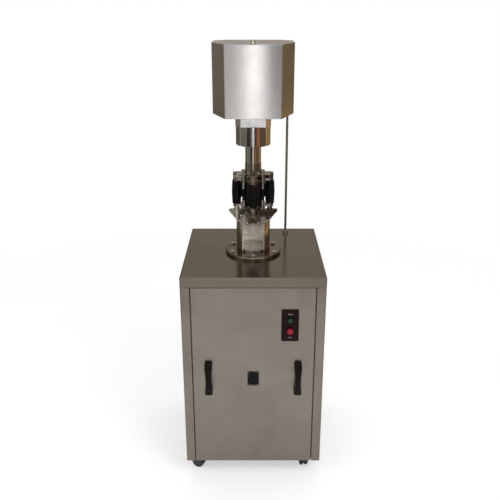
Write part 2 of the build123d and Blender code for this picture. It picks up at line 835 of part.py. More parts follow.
def drive_hangers():
    """Two plates hung under the deck that carry the camshaft and the gear motor."""
    height = DECK_BOTTOM - CAM_Z + HANGER_BELOW
    with BuildPart() as hangers:
        for side in (-1, 1):
            face = side * (HANGER_SPAN + HANGER_THICK) / 2
            plane = Plane(origin=(face, BODY_Y, CAM_Z), x_dir=(0, 1, 0), z_dir=(1, 0, 0))
            with BuildSketch(plane.offset(-HANGER_THICK / 2)):
                with Locations((0, height / 2 - HANGER_BELOW)):
                    Rectangle(HANGER_DEPTH, height)
                Circle(CAMSHAFT_R + FIT, mode=Mode.SUBTRACT)
            extrude(amount=HANGER_THICK)
            with BuildSketch(body_level(DECK_BOTTOM - HANGER_THICK)):
                with Locations((face + side * HANGER_FOOT / 2, 0)):
                    Rectangle(HANGER_FOOT, HANGER_DEPTH)
            extrude(amount=HANGER_THICK)
    save(hangers, "drive_hangers")


def gear_motor():
    """Worm gearbox on the right hanger with its motor hanging below it."""
    inner_face = HANGER_SPAN / 2 + HANGER_THICK
    middle = inner_face + GEARBOX_WIDTH / 2
    motor_top = CAM_Z - GEARBOX_HEIGHT / 2
    with BuildPart() as drive:
        with BuildSketch(Plane(origin=(inner_face, BODY_Y, CAM_Z), x_dir=(0, 1, 0), z_dir=(1, 0, 0))):
            RectangleRounded(GEARBOX_DEPTH, GEARBOX_HEIGHT, GEARBOX_EDGE)
            Circle(CAMSHAFT_R + FIT, mode=Mode.SUBTRACT)
        extrude(amount=GEARBOX_WIDTH)
        with BuildSketch(Plane((middle, BODY_Y, motor_top - GEAR_MOTOR_LENGTH))):
            Circle(GEAR_MOTOR_R - MOTOR_FIN)
            with PolarLocations(GEAR_MOTOR_R - MOTOR_FIN, GEAR_MOTOR_FINS):
                Rectangle(2 * MOTOR_FIN, MOTOR_FIN_THICK)
        extrude(amount=GEAR_MOTOR_LENGTH)
    save(drive, "gear_motor")


# Column, conduit and bracket


def column():
    """Thick tube from under the deck to the top of the bracket."""
    with BuildPart() as tube:
        with BuildSketch(Plane((0, BODY_Y + COLUMN_BACK, DECK_BOTTOM - 2 * COLLAR))):
            Circle(COLUMN_R)
            Circle(COLUMN_R - COLUMN_WALL, mode=Mode.SUBTRACT)
        extrude(amount=TABLE_Z + NECK_TOP - DECK_BOTTOM + 2 * COLLAR)
    save(tube, "column")


def column_collars():
    """Collar on the work top and ring nut under the deck that grip it between them."""
    with BuildPart() as collars:
        for bottom in (TABLE_Z, DECK_BOTTOM - COLLAR):
            with BuildSketch(Plane((0, BODY_Y + COLUMN_BACK, bottom))):
                Circle(COLLAR_R)
                Circle(COLUMN_R + FIT, mode=Mode.SUBTRACT)
            extrude(amount=COLLAR)
        chamfer(
            collars.faces().sort_by(Axis.Z)[-1].edges().sort_by(SortBy.RADIUS)[-1], length=2 * SHEET
        )
    save(collars, "column_collars")


def conduit():
    """Rigid wiring tube that rises behind the head and bends in under the hood's rear corner."""
    run = CONDUIT_RUN * cos(radians(45))
    start = (CONDUIT_X, BODY_Y + CONDUIT_BACK, DECK_BOTTOM - 2 * GLAND)
    corner = (CONDUIT_X, BODY_Y + CONDUIT_BACK, TABLE_Z + CONDUIT_LEVEL)
    end = (CONDUIT_X - run, BODY_Y + CONDUIT_BACK - run, TABLE_Z + CONDUIT_LEVEL)
    with BuildPart() as tube:
        with BuildLine():
            FilletPolyline(start, corner, end, radius=CONDUIT_BEND)
        with BuildSketch(Plane(start)):
            Circle(CONDUIT_R)
            Circle(CONDUIT_R - CONDUIT_WALL, mode=Mode.SUBTRACT)
        sweep()
    save(tube, "conduit")


def cable_glands():
    """Gland where the conduit leaves the work top, its saddle in the hood, and the rear inlet."""
    inward = Vector(-cos(radians(45)), -sin(radians(45)), 0)
    across = Vector(cos(radians(45)), -sin(radians(45)), 0)
    foot = Vector(CONDUIT_X, BODY_Y + CONDUIT_BACK, TABLE_Z + CONDUIT_LEVEL) + inward * SADDLE_AT
    drop = CONDUIT_LEVEL - BASE_TOP
    with BuildPart() as glands:
        with BuildSketch(Plane((CONDUIT_X, BODY_Y + CONDUIT_BACK, TABLE_Z))):
            RegularPolygon(GLAND_AF / 2, 6, major_radius=False)
            Circle(CONDUIT_R + FIT, mode=Mode.SUBTRACT)
        extrude(amount=GLAND)
        saddle_plane = Plane(origin=foot - inward * (SADDLE / 2), x_dir=across, z_dir=inward)
        with BuildSketch(saddle_plane):
            up = 1 if saddle_plane.y_dir.Z > 0 else -1
            with Locations((0, -up * (drop - CONDUIT_R - CONDUIT_CLEAR) / 2)):
                Rectangle(SADDLE, drop + CONDUIT_R + CONDUIT_CLEAR)
            Circle(CONDUIT_R + FIT, mode=Mode.SUBTRACT)
        extrude(amount=SADDLE)
        rear = Plane(
            origin=(CABLE_GLAND_X, BACK_Y, CABLE_GLAND_Z), x_dir=(-1, 0, 0), z_dir=(0, 1, 0)
        )
        with BuildSketch(rear):
            RegularPolygon(CABLE_GLAND_R, 6, major_radius=False)
        extrude(amount=CABLE_GLAND_REACH / 2)
        with BuildSketch(rear.offset(-2 * SHEET)):
            Circle(CABLE_GLAND_R - SHEET - FIT)
        extrude(amount=CABLE_GLAND_REACH + 2 * SHEET)
        with BuildSketch(rear.offset(CABLE_GLAND_REACH)):
            Circle(CONDUIT_R)
        extrude(amount=-CABLE_GLAND_REACH - 2 * SHEET, mode=Mode.SUBTRACT)
    save(glands, "cable_glands")


def head_bracket():
    """Cast arm: a faceted neck round the spindle housing, ribs and a split clamp on the column."""
    front = -NECK_FRONT
    with BuildPart() as bracket:
        with BuildSketch(head_level(NECK_BOTTOM)):
            with BuildLine():
                Polyline(
                    (-NECK_FACE / 2, front),
                    (NECK_FACE / 2, front),
                    (NECK_WIDTH / 2, -NECK_SHOULDER),
                    (NECK_WIDTH / 2, NECK_BACK),
                    (CLAMP_BOSS_R, COLUMN_BACK),
                    (-CLAMP_BOSS_R, COLUMN_BACK),
                    (-NECK_WIDTH / 2, NECK_BACK),
                    (-NECK_WIDTH / 2, -NECK_SHOULDER),
                    close=True,
                )
            make_face()
            with Locations((0, COLUMN_BACK)):
                Circle(CLAMP_BOSS_R)
                Circle(COLUMN_R + FIT, mode=Mode.SUBTRACT)
            with Locations((0, COLUMN_BACK + CLAMP_BOSS_R / 2 + COLUMN_R / 2)):
                Rectangle(CLAMP_SLOT, CLAMP_BOSS_R - COLUMN_R + 2 * ARM_RIB, mode=Mode.SUBTRACT)
            Circle(SPIGOT_R + FIT, mode=Mode.SUBTRACT)
        extrude(amount=NECK_TOP - NECK_BOTTOM)
        pocket_front = SPIGOT_R + ARM_RIB
        pocket_back = COLUMN_BACK - COLUMN_R - ARM_RIB
        with BuildSketch(head_level(NECK_BOTTOM)):
            with Locations((0, (pocket_front + pocket_back) / 2)):
                for side in (-1, 1):
                    with Locations((side * (CLAMP_BOSS_R - ARM_RIB) / 2, 0)):
                        Rectangle(CLAMP_BOSS_R - 2 * ARM_RIB, pocket_back - pocket_front)
        extrude(amount=ARM_POCKET, mode=Mode.SUBTRACT)
        clamp_y = COLUMN_BACK + CLAMP_BOSS_R - CLAMP_BOLT_INSET
        third = (NECK_TOP - NECK_BOTTOM) / 3
        for level in (NECK_BOTTOM + third, NECK_TOP - third):
            place = (0, BODY_Y + clamp_y, TABLE_Z + level)
            clamp_plane = Plane(origin=place, x_dir=(0, 1, 0), z_dir=(1, 0, 0))
            with BuildSketch(clamp_plane):
                Circle(BOLT_R - 1 + FIT)
            extrude(amount=CLAMP_BOSS_R, both=True, mode=Mode.SUBTRACT)
            with BuildSketch(clamp_plane.offset(2 * CLAMP_BOLT_INSET)):
                Circle(BOLT_HEAD_AF / 2)
            extrude(amount=CLAMP_BOSS_R, mode=Mode.SUBTRACT)
    save(bracket, "head_bracket")


def spindle_housing():
    """Turned collar under the bracket with a spigot through it, bored for two bearings."""
    bore = BEARING_R + FIT
    housing = turned(
        [
            (bore, HOUSING_BOTTOM),
            (HOUSING_R - HOUSING_EDGE, HOUSING_BOTTOM),
            (HOUSING_R, HOUSING_BOTTOM + HOUSING_EDGE),
            (HOUSING_R, NECK_BOTTOM),
            (SPIGOT_R, NECK_BOTTOM),
            (SPIGOT_R, SPIGOT_TOP),
            (bore, SPIGOT_TOP),
            (bore, SPIGOT_TOP - BEARING_WIDTH),
            (HOUSING_BORE_R, SPIGOT_TOP - BEARING_WIDTH),
            (HOUSING_BORE_R, HOUSING_BOTTOM + BEARING_RECESS + BEARING_WIDTH),
            (bore, HOUSING_BOTTOM + BEARING_RECESS + BEARING_WIDTH),
        ]
    )
    save(housing, "spindle_housing")


def spindle_bearings():
    """Two sealed ball bearings, the seals set back between the races."""
    inner = SHAFT_R + FIT
    low_seal = inner + BEARING_RACE
    high_seal = BEARING_R - BEARING_RACE
    with BuildPart() as bearings:
        for bottom in (HOUSING_BOTTOM + BEARING_RECESS, SPIGOT_TOP - BEARING_WIDTH):
            top = bottom + BEARING_WIDTH
            with BuildSketch(Plane(origin=(0, BODY_Y, TABLE_Z), x_dir=(1, 0, 0), z_dir=(0, -1, 0))):
                with BuildLine():
                    Polyline(
                        (inner, bottom),
                        (low_seal, bottom),
                        (low_seal, bottom + BEARING_SEAL),
                        (high_seal, bottom + BEARING_SEAL),
                        (high_seal, bottom),
                        (BEARING_R, bottom),
                        (BEARING_R, top),
                        (high_seal, top),
                        (high_seal, top - BEARING_SEAL),
                        (low_seal, top - BEARING_SEAL),
                        (low_seal, top),
                        (inner, top),
                        close=True,
                    )
                make_face()
            revolve(axis=Axis((0, BODY_Y, 0), (0, 0, 1)))
    save(bearings, "spindle_bearings")


# Spindle and head


def spindle():
    """Stepped spindle: the thick lower sleeve shows, the shaft runs up through the bearings."""
    shaft_top = PULLEY_BOTTOM + PULLEY + HOOD_BEND
    bearing_seat = HOUSING_BOTTOM + BEARING_RECESS
    shaft = turned(
        [
            (0, SPINDLE_BOTTOM),
            (SPINDLE_R, SPINDLE_BOTTOM),
            (SPINDLE_R, HOUSING_BOTTOM - 2 * SEAT),
            (SPINDLE_STEP_R, HOUSING_BOTTOM - 2 * SEAT),
            (SPINDLE_STEP_R, bearing_seat - SEAT),
            (SHAFT_R, bearing_seat - SEAT),
            (SHAFT_R, shaft_top - 1),
            (SHAFT_R - 1, shaft_top),
            (0, shaft_top),
        ]
    )
    save(shaft, "spindle")


def spider_outline():
    """Plate outline shared by the head's three spiders: a disc with eight lobes."""
    with BuildSketch() as outline:
        Circle(SPIDER_R)
        with PolarLocations(PIVOT_RADIUS / 2, 4):
            Rectangle(PIVOT_RADIUS, 2 * LOBE_R)
        with PolarLocations(PIVOT_RADIUS, 4):
            Circle(LOBE_R)
        with PolarLocations(STAY_RADIUS, 4, start_angle=45):
            Circle(STAY_LOBE_R)
    return outline.sketch


def head_adaptor():
    """Top flange of the head with the flared nut that screws on to the spindle."""
    flange_top = ADAPTOR_BOTTOM + SPIDER_FLANGE
    with BuildPart() as adaptor:
        with BuildSketch(head_level(ADAPTOR_BOTTOM)):
            add(spider_outline())
        extrude(amount=SPIDER_FLANGE)
        with BuildSketch(Plane(origin=(0, BODY_Y, TABLE_Z), x_dir=(1, 0, 0), z_dir=(0, -1, 0))):
            with BuildLine():
                Polyline(
                    (0, flange_top),
                    (ADAPTOR_FLARE_R, flange_top),
                    (ADAPTOR_R, flange_top + ADAPTOR_FLARE),
                    (ADAPTOR_R, SPINDLE_BOTTOM),
                    (0, SPINDLE_BOTTOM),
                    close=True,
                )
            make_face()
        revolve(axis=Axis((0, BODY_Y, 0), (0, 0, 1)))
        with BuildSketch(head_level(ADAPTOR_BOTTOM)):
            Circle(ADAPTOR_POCKET_R)
        extrude(amount=ADAPTOR_POCKET, mode=Mode.SUBTRACT)
    save(adaptor, "head_adaptor")


def spider_plates():
    """Two spiders that hold the pivot shafts, with bosses that centre the springs."""
    with BuildPart() as spiders:
        for bottom, boss_from in (
            (LOWER_SPIDER, LOWER_SPIDER + SPIDER),
            (UPPER_SPIDER, UPPER_SPIDER - SPIDER_BOSS),
        ):
            with BuildSketch(head_level(bottom)):
                add(spider_outline())
                Circle(SPIDER_BORE_R, mode=Mode.SUBTRACT)
            extrude(amount=SPIDER)
            with BuildSketch(head_level(boss_from)):
                with PolarLocations(PIVOT_RADIUS, 4):
                    Circle(SPIDER_BOSS_R)
            extrude(amount=SPIDER_BOSS)
        with BuildSketch(head_level(LOWER_SPIDER)):
            with PolarLocations(PIVOT_RADIUS, 4):
                Circle(PIVOT_R + FIT)
        extrude(amount=UPPER_SPIDER + SPIDER - LOWER_SPIDER, mode=Mode.SUBTRACT)
    save(spiders, "spider_plates")


def stay_posts():
    """Spacer posts that tie the spiders to each other and to the top flange."""
    with BuildPart() as posts:
        for bottom, top in (
            (LOWER_SPIDER + SPIDER, UPPER_SPIDER),
            (UPPER_SPIDER + SPIDER, ADAPTOR_BOTTOM),
        ):
            with BuildSketch(head_level(bottom)):
                with PolarLocations(STAY_RADIUS, 4, start_angle=45):
                    Circle(STAY_R)
            extrude(amount=top - bottom)
    save(posts, "stay_posts")


def head_core():
    """Hollow hub between the spiders, bored at each end to guide the chuck stem."""
    bottom = LOWER_SPIDER + SPIDER
    guide = CHUCK_STEM_R + FIT
    core = turned(
        [
            (guide, bottom),
            (CORE_NECK_R, bottom),
            (CORE_NECK_R, bottom + CORE_NECK),
            (CORE_R, bottom + CORE_NECK),
            (CORE_R, UPPER_SPIDER),
            (guide, UPPER_SPIDER),
            (guide, UPPER_SPIDER - CORE_GUIDE),
            (CORE_BORE_R, UPPER_SPIDER - CORE_GUIDE),
            (CORE_BORE_R, bottom + CORE_GUIDE),
            (guide, bottom + CORE_GUIDE),
        ]
    )
    save(core, "head_core")


def torsion_springs():
    """Four closely wound torsion springs round the pivot shafts, slightly barrelled."""
    bottom = LOWER_SPIDER + SPIDER + SEAT
    top = UPPER_SPIDER - SEAT
    pitch = (top - bottom) / SPRING_TURNS
    outline = [(SPRING_BORE_R, bottom), (SPRING_R - SPRING_BELLY - pitch / 3, bottom)]
    for turn in range(SPRING_TURNS):
        along = (turn + 0.5) / SPRING_TURNS
        crest = SPRING_R - SPRING_BELLY * abs(2 * along - 1)
        outline.append((crest, bottom + pitch * (turn + 0.5)))
        outline.append((crest - pitch / 3, bottom + pitch * (turn + 1)))
    outline.append((SPRING_BORE_R, top))
    with BuildPart() as springs:
        for quarter in range(4):
            x, y = polar(PIVOT_RADIUS, 90 * quarter)
            with BuildSketch(
                Plane(origin=(x, BODY_Y + y, TABLE_Z), x_dir=(1, 0, 0), z_dir=(0, -1, 0))
            ):
                with BuildLine():
                    Polyline(outline, close=True)
                make_face()
            revolve(axis=Axis((x, BODY_Y + y, 0), (0, 0, 1)))
    save(springs, "torsion_springs")


def tapered_link(start, start_r, end, end_r):
    """Sketch of a link: the hull of two round ends."""
    with BuildSketch() as link:
        with Locations(start):
            Circle(start_r)
        with Locations(end):
            Circle(end_r)
        make_hull()
    return link.sketch


def roller_arm(name, angle):
    """Pivot shaft with its roller arm and heel below, and the clamped lever above."""
    pivot = (PIVOT_RADIUS, 0)
    roller = polar(ROLLER_RADIUS, ROLLER_ANGLE)
    tip = polar(LEVER_TIP_RADIUS, LEVER_TIP_ANGLE)
    arm_top = ARM_BOTTOM + ARM
    with BuildPart() as arm:
        with BuildSketch(head_level(ARM_BOTTOM, angle)):
            add(tapered_link(pivot, LOBE_R, roller, ARM_EYE_R))
        extrude(amount=ARM)
        with BuildSketch(head_level(HUB_BOTTOM, angle)):
            add(tapered_link(pivot, LOBE_R, (HEEL_REACH - HEEL_TIP / 2, 0), HEEL_TIP / 2))
        extrude(amount=arm_top - HUB_BOTTOM)
        heel_plane = Plane(
            origin=head_level(0, angle).origin,
            x_dir=head_level(0, angle).x_dir,
            z_dir=-head_level(0, angle).y_dir,
        )
        with BuildSketch(heel_plane):
            with BuildLine():
                Polyline(
                    (PIVOT_RADIUS, HUB_BOTTOM),
                    (HEEL_REACH, arm_top - HEEL_NOSE),
                    (HEEL_REACH + 1, arm_top - HEEL_NOSE),
                    (HEEL_REACH + 1, HUB_BOTTOM - 1),
                    (PIVOT_RADIUS, HUB_BOTTOM - 1),
                    close=True,
                )
            make_face()
        extrude(amount=LOBE_R + 1, both=True, mode=Mode.SUBTRACT)
        with BuildSketch(head_level(HUB_BOTTOM, angle)):
            with Locations(pivot):
                Circle(PIVOT_R)
        extrude(amount=ADAPTOR_BOTTOM - SEAT - HUB_BOTTOM)
        with BuildSketch(head_level(arm_top, angle)):
            with Locations(pivot):
                Circle(SPIDER_BOSS_R)
        extrude(amount=LOWER_SPIDER - SEAT - arm_top)
        with BuildSketch(head_level(ROLLER_BOTTOM - ROLLER_GAP - PIN_HEAD, angle)):
            with Locations(roller):
                Circle(PIN_HEAD_R)
        extrude(amount=PIN_HEAD)
        with BuildSketch(head_level(ROLLER_BOTTOM - ROLLER_GAP, angle)):
            with Locations(roller):
                Circle(ROLLER_BORE_R)
        extrude(amount=ARM_BOTTOM - ROLLER_BOTTOM + ROLLER_GAP)
        with BuildSketch(head_level(ROLLER_BOTTOM + ROLLER + ROLLER_GAP, angle)):
            with Locations(roller):
                Circle(PIN_HEAD_R)
        extrude(amount=ARM_BOTTOM - ROLLER_BOTTOM - ROLLER - ROLLER_GAP)
        with BuildSketch(head_level(LEVER_BOTTOM, angle)):
            add(tapered_link(pivot, LOBE_R, tip, LEVER_TIP_R))
        extrude(amount=LEVER)
        with BuildSketch(head_level(LEVER_BOTTOM - LEVER_BOSS, angle)):
            with Locations(pivot):
                Circle(LOBE_R)
        extrude(amount=ADAPTOR_BOTTOM - SEAT - LEVER_BOTTOM + LEVER_BOSS)
    save(arm, f"roller_arm_{name}")


def sealing_roller(name, angle):
    """Free-running roller with a raised lip that presses the cap's skirt."""
    x, y = polar(ROLLER_RADIUS, angle + ROLLER_ANGLE)
    axis = Axis((x, BODY_Y + y, 0), (0, 0, 1))
    low = ROLLER_BOTTOM
    high = ROLLER_BOTTOM + ROLLER
    bore = ROLLER_BORE_R + FIT
    with BuildPart() as roller:
        with BuildSketch(Plane(origin=(x, BODY_Y + y, TABLE_Z), x_dir=(1, 0, 0), z_dir=(0, -1, 0))):
            with BuildLine():
                Polyline(
                    (bore, low),
                    (ROLLER_R - ROLLER_LIP, low),
                    (ROLLER_R, low + ROLLER_LIP),
                    (ROLLER_R, low + 2 * ROLLER_LIP),
                    (ROLLER_R - ROLLER_LIP, low + 3 * ROLLER_LIP),
                    (ROLLER_R - ROLLER_LIP, high),
                    (bore, high),
                    close=True,
                )
            make_face()
        revolve(axis=axis)
    save(roller, f"roller_{name}")


def chuck():
    """Pressing block with its cap recess, the stem through the core and the arm-closing cone."""
    swing = radians(ARM_SWING) * lever_gain()
    slope = swing / CHUCK_TRAVEL
    rest_r = LEVER_TIP_RADIUS - LEVER_TIP_R - CONE_GAP
    block_top = CHUCK_BOTTOM + CHUCK_BLOCK
    piece = turned(
        [
            (0, CHUCK_BOTTOM + CAP_RECESS),
            (CAP_RECESS_R, CHUCK_BOTTOM + CAP_RECESS),
            (CAP_RECESS_R, CHUCK_BOTTOM),
            (CHUCK_R, CHUCK_BOTTOM),
            (CHUCK_R, block_top),
            (CHUCK_STEM_R, block_top),
            (CHUCK_STEM_R, CONE_BOTTOM),
            (rest_r + slope * (LEVER_BOTTOM - CONE_BOTTOM), CONE_BOTTOM),
            (rest_r - slope * (CONE_TOP - LEVER_BOTTOM), CONE_TOP),
            (0, CONE_TOP),
        ]
    )
    save(piece, "chuck")


def lever_gain():
    """How far a lever's tip moves outward for each radian that its arm turns."""
    x, y = polar(LEVER_TIP_RADIUS, LEVER_TIP_ANGLE)
    return (y * x + (PIVOT_RADIUS - x) * y) / LEVER_TIP_RADIUS


# Hood and drive


def hood_outline(inset):
    """Hood outline: a flat face, slanted cheeks, straight sides and cut rear corners."""
    half_face = HOOD_FACE / 2
    half_width = HOOD_WIDTH / 2
    corner = half_width - half_face
    with BuildSketch() as outline:
        with BuildLine():
            Polyline(
                (-half_face, -HOOD_FRONT),
                (half_face, -HOOD_FRONT),
                (half_width, 0),
                (half_width, HOOD_BACK - corner),
                (half_face, HOOD_BACK),
                (-half_face, HOOD_BACK),
                (-half_width, HOOD_BACK - corner),
                (-half_width, 0),
                close=True,
            )
        make_face()
        fillet(outline.vertices(), radius=HOOD_BEND)
        if inset:
            offset(amount=-inset, mode=Mode.REPLACE)
    return outline.sketch


def hood():
    """Folded hood with a flat roof, notched at the rear corner for the conduit."""
    height = HOOD_TOP - NECK_TOP
    notch = 2 * (CONDUIT_R + CONDUIT_CLEAR)
    inward = Vector(-cos(radians(45)), -sin(radians(45)), 0)
    start = Vector(CONDUIT_X, BODY_Y + CONDUIT_BACK, TABLE_Z + NECK_TOP)
    across = Vector(cos(radians(45)), -sin(radians(45)), 0)
    with BuildPart() as cover:
        with BuildSketch(head_level(NECK_TOP)):
            add(hood_outline(0))
        extrude(amount=height)
        with BuildSketch(head_level(NECK_TOP)):
            add(hood_outline(SHEET))
        extrude(amount=height - SHEET, mode=Mode.SUBTRACT)
        with BuildSketch(head_level(HOOD_TOP)):
            with Locations((0, -STUD_FRONT)):
                Circle(STUD_TIP_R + SEAT)
        extrude(amount=-2 * SHEET, mode=Mode.SUBTRACT)
        reach = 2 * (CONDUIT_LEVEL - NECK_TOP)
        with BuildSketch(Plane(origin=start, x_dir=across, z_dir=inward)):
            Rectangle(notch, reach)
            with Locations((0, reach / 2), (0, -reach / 2)):
                Circle(notch / 2)
        extrude(amount=CONDUIT_RUN, mode=Mode.SUBTRACT)
    save(cover, "hood")


def hood_base():
    """Plate on the neck that closes the hood and carries the motor."""
    with BuildPart() as plate:
        with BuildSketch(head_level(NECK_TOP)):
            add(hood_outline(SHEET + SEAT))
            Circle(SPIGOT_R + FIT, mode=Mode.SUBTRACT)
            with Locations((0, -STUD_FRONT)):
                Circle(STUD_TIP_R + FIT, mode=Mode.SUBTRACT)
        extrude(amount=BASE_PLATE)
    save(plate, "hood_base")


def hood_stud():
    """Shouldered stay bolt that holds the hood, with the acorn nut on its tip."""
    centre = (0, BODY_Y - STUD_FRONT, TABLE_Z)
    axis = Axis((0, BODY_Y - STUD_FRONT, 0), (0, 0, 1))
    shoulder = HOOD_TOP - SHEET - SEAT
    tip = HOOD_TOP + STUD_TIP
    nut_top = tip + SEAT
    dome = ACORN_R - 1
    with BuildPart() as stud:
        with BuildSketch(Plane(origin=centre, x_dir=(1, 0, 0), z_dir=(0, -1, 0))):
            with BuildLine():
                Polyline(
                    (0, NECK_TOP),
                    (STUD_TIP_R, NECK_TOP),
                    (STUD_TIP_R, BASE_TOP),
                    (STUD_R, BASE_TOP),
                    (STUD_R, shoulder),
                    (STUD_TIP_R, shoulder),
                    (STUD_TIP_R, tip),
                    (0, tip),
                    close=True,
                )
            make_face()
            with BuildLine():
                Line((0, nut_top), (dome, nut_top))
                ThreePointArc(
                    (dome, nut_top),
                    (dome * cos(pi / 4), nut_top + dome * sin(pi / 4)),
                    (0, nut_top + dome),
                )
                Line((0, nut_top + dome), (0, nut_top))
            make_face()
        revolve(axis=axis)
        with BuildSketch(Plane((0, BODY_Y - STUD_FRONT, TABLE_Z + HOOD_TOP))):
            RegularPolygon(ACORN_R, 6)
            Circle(STUD_TIP_R + FIT, mode=Mode.SUBTRACT)
        extrude(amount=nut_top - HOOD_TOP)
    save(stud, "hood_stud")


def motor():
    """Finned motor standing on the base plate, its shaft end upward."""
    centre = Vector(MOTOR_X, BODY_Y + MOTOR_BACK, TABLE_Z + BASE_TOP)
    with BuildPart() as body:
        with BuildSketch(Plane(centre)):
            Circle(MOTOR_R)
        extrude(amount=MOTOR_HEIGHT)
        with BuildSketch(Plane(centre).offset(MOTOR_CAP)):
            with PolarLocations(MOTOR_R, MOTOR_FINS):
                Rectangle(2 * MOTOR_FIN, MOTOR_FIN_THICK)
        extrude(amount=MOTOR_HEIGHT - 2 * MOTOR_CAP)
        with BuildSketch(Plane(centre).offset(MOTOR_HEIGHT)):
            Circle(MOTOR_SHAFT_R + FIT)
        extrude(amount=-MOTOR_SHAFT_DEPTH, mode=Mode.SUBTRACT)
    save(body, "motor")


def motor_shaft():
    """Free end of the motor shaft, from inside its bearing to the top of the pulley."""
    bottom = BASE_TOP + MOTOR_HEIGHT - MOTOR_SHAFT_DEPTH + SEAT
    with BuildPart() as shaft:
        with BuildSketch(Plane((MOTOR_X, BODY_Y + MOTOR_BACK, TABLE_Z + bottom))):
            Circle(MOTOR_SHAFT_R)
        extrude(amount=PULLEY_BOTTOM + PULLEY + HOOD_BEND - bottom)
    save(shaft, "motor_shaft")


def pulley(name, x, y, radius, bore):
    """Grooved pulley with a web set in from both faces."""
    low = PULLEY_BOTTOM
    high = PULLEY_BOTTOM + PULLEY
    middle = (low + high) / 2
    root = radius - GROOVE_DEPTH
    mouth = middle - PULLEY / 2 + PULLEY_RIM
    lip = middle + PULLEY / 2 - PULLEY_RIM
    with BuildPart() as wheel:
        with BuildSketch(Plane(origin=(x, BODY_Y + y, TABLE_Z), x_dir=(1, 0, 0), z_dir=(0, -1, 0))):
            with BuildLine():
                Polyline(
                    (bore + FIT, low),
                    (radius, low),
                    (radius, mouth),
                    (root, mouth + GROOVE_SLOPE),
                    (root, lip - GROOVE_SLOPE),
                    (radius, lip),
                    (radius, high),
                    (bore + FIT, high),
                    close=True,
                )
            make_face()
        revolve(axis=Axis((x, BODY_Y + y, 0), (0, 0, 1)))
    save(wheel, name)


def belt():
    """Drive belt: a closed loop round both pulleys, seated in their grooves."""
    inner_spindle = SPINDLE_PULLEY_R - GROOVE_DEPTH + SEAT
    inner_motor = MOTOR_PULLEY_R - GROOVE_DEPTH + SEAT
    height = PULLEY - 2 * PULLEY_RIM - 2 * GROOVE_SLOPE - 2 * SEAT
    loop_bottom = PULLEY_BOTTOM + PULLEY_RIM + GROOVE_SLOPE + SEAT
    centre = (MOTOR_X, MOTOR_BACK)
    with BuildPart() as loop:
        with BuildSketch(head_level(loop_bottom)):
            add(tapered_link((0, 0), inner_spindle + BELT_THICK, centre, inner_motor + BELT_THICK))
            add(tapered_link((0, 0), inner_spindle, centre, inner_motor), mode=Mode.SUBTRACT)
        extrude(amount=height)
    save(loop, "belt")


def build_cabinet():
    """Frame, sheet work and the front panel with what it carries."""
    frame_tubes()
    body_shell()
    floor_plate()
    deck_plate()
    top_cover()
    front_panel()
    panel_handle(-1)
    panel_handle(1)
    handle_screws()
    switch_plate()
    push_button("start_button", START_RISE, BUTTON_R, BUTTON_PROUD)
    push_button("stop_button", -STOP_DROP, STOP_R, STOP_PROUD)
    contact_block()
    name_plate()
    caster_plates()
    for name, (x, y) in caster_places().items():
        caster(name, x, y, CASTER_TURNS[name])


def build_lift():
    """Bottle nest, lift, cam and their drive."""
    bottle_nest()
    hex_bolts()
    lift_platform()
    guide_bush()
    lift_cam()
    drive_hangers()
    gear_motor()


def build_head():
    """Column, bracket, spindle and the spinning head."""
    column()
    column_collars()
    conduit()
    cable_glands()
    head_bracket()
    spindle_housing()
    spindle_bearings()
    spindle()
    head_adaptor()
    spider_plates()
    stay_posts()
    head_core()
    torsion_springs()
    for name, angle in (("front", 270), ("right", 0), ("rear", 90), ("left", 180)):
        roller_arm(name, angle)
        sealing_roller(name, angle)
    chuck()


def build_drive():
    """Hood, motor, pulleys and belt."""
    hood()
    hood_base()
    hood_stud()
    motor()
    motor_shaft()
    pulley("spindle_pulley", 0, 0, SPINDLE_PULLEY_R, SHAFT_R)
    pulley("motor_pulley", MOTOR_X, MOTOR_BACK, MOTOR_PULLEY_R, MOTOR_SHAFT_R)
    belt()


os.makedirs("parts", exist_ok=True)
build_cabinet()
build_lift()
build_head()
build_drive()
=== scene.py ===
from math import cos, pi, radians, sin

import bmesh
import bpy
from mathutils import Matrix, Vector


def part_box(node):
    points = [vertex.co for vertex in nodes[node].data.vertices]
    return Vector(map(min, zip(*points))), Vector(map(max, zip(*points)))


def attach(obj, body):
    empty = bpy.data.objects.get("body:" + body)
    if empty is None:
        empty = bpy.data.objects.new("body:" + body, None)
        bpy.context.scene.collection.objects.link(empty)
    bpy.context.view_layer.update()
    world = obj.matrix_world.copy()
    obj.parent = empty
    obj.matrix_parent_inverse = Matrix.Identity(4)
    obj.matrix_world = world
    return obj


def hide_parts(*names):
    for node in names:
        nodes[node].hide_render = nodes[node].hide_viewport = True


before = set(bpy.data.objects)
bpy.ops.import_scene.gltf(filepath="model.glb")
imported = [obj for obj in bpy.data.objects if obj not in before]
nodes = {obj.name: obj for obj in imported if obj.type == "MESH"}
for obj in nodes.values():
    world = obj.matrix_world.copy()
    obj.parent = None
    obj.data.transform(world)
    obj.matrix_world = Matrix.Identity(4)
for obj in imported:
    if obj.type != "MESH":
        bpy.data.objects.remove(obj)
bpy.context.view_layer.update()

# Places in metres. The head's axis stands at x = 0. UPPER_SPIDER is a height above the work top.
TABLE = 0.900
AXIS_Y = 0.009
FRONT_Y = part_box("front_panel")[0].y
SPRING_CIRCLE = 0.066
STAY_CIRCLE = 0.052
UPPER_SPIDER = 0.302
STATION_X = 0.1406
STATION_Z = TABLE - 0.197
STATION_FACE = FRONT_Y - 0.008
NEST_FLANGE_TOP = TABLE + 0.012
NEST_BORE = 0.0625

UP = Vector((0, 0, 1))
DOWN = Vector((0, 0, -1))
FORWARD = Vector((0, -1, 0))
WHITE = (1, 1, 1, 1)


# Node graph helpers

def new_material(name):
    mat = bpy.data.materials.new(name)
    mat.use_nodes = True
    tree = mat.node_tree
    return mat, tree, tree.nodes["Principled BSDF"]


def link(tree, a, b):
    tree.links.new(a, b)


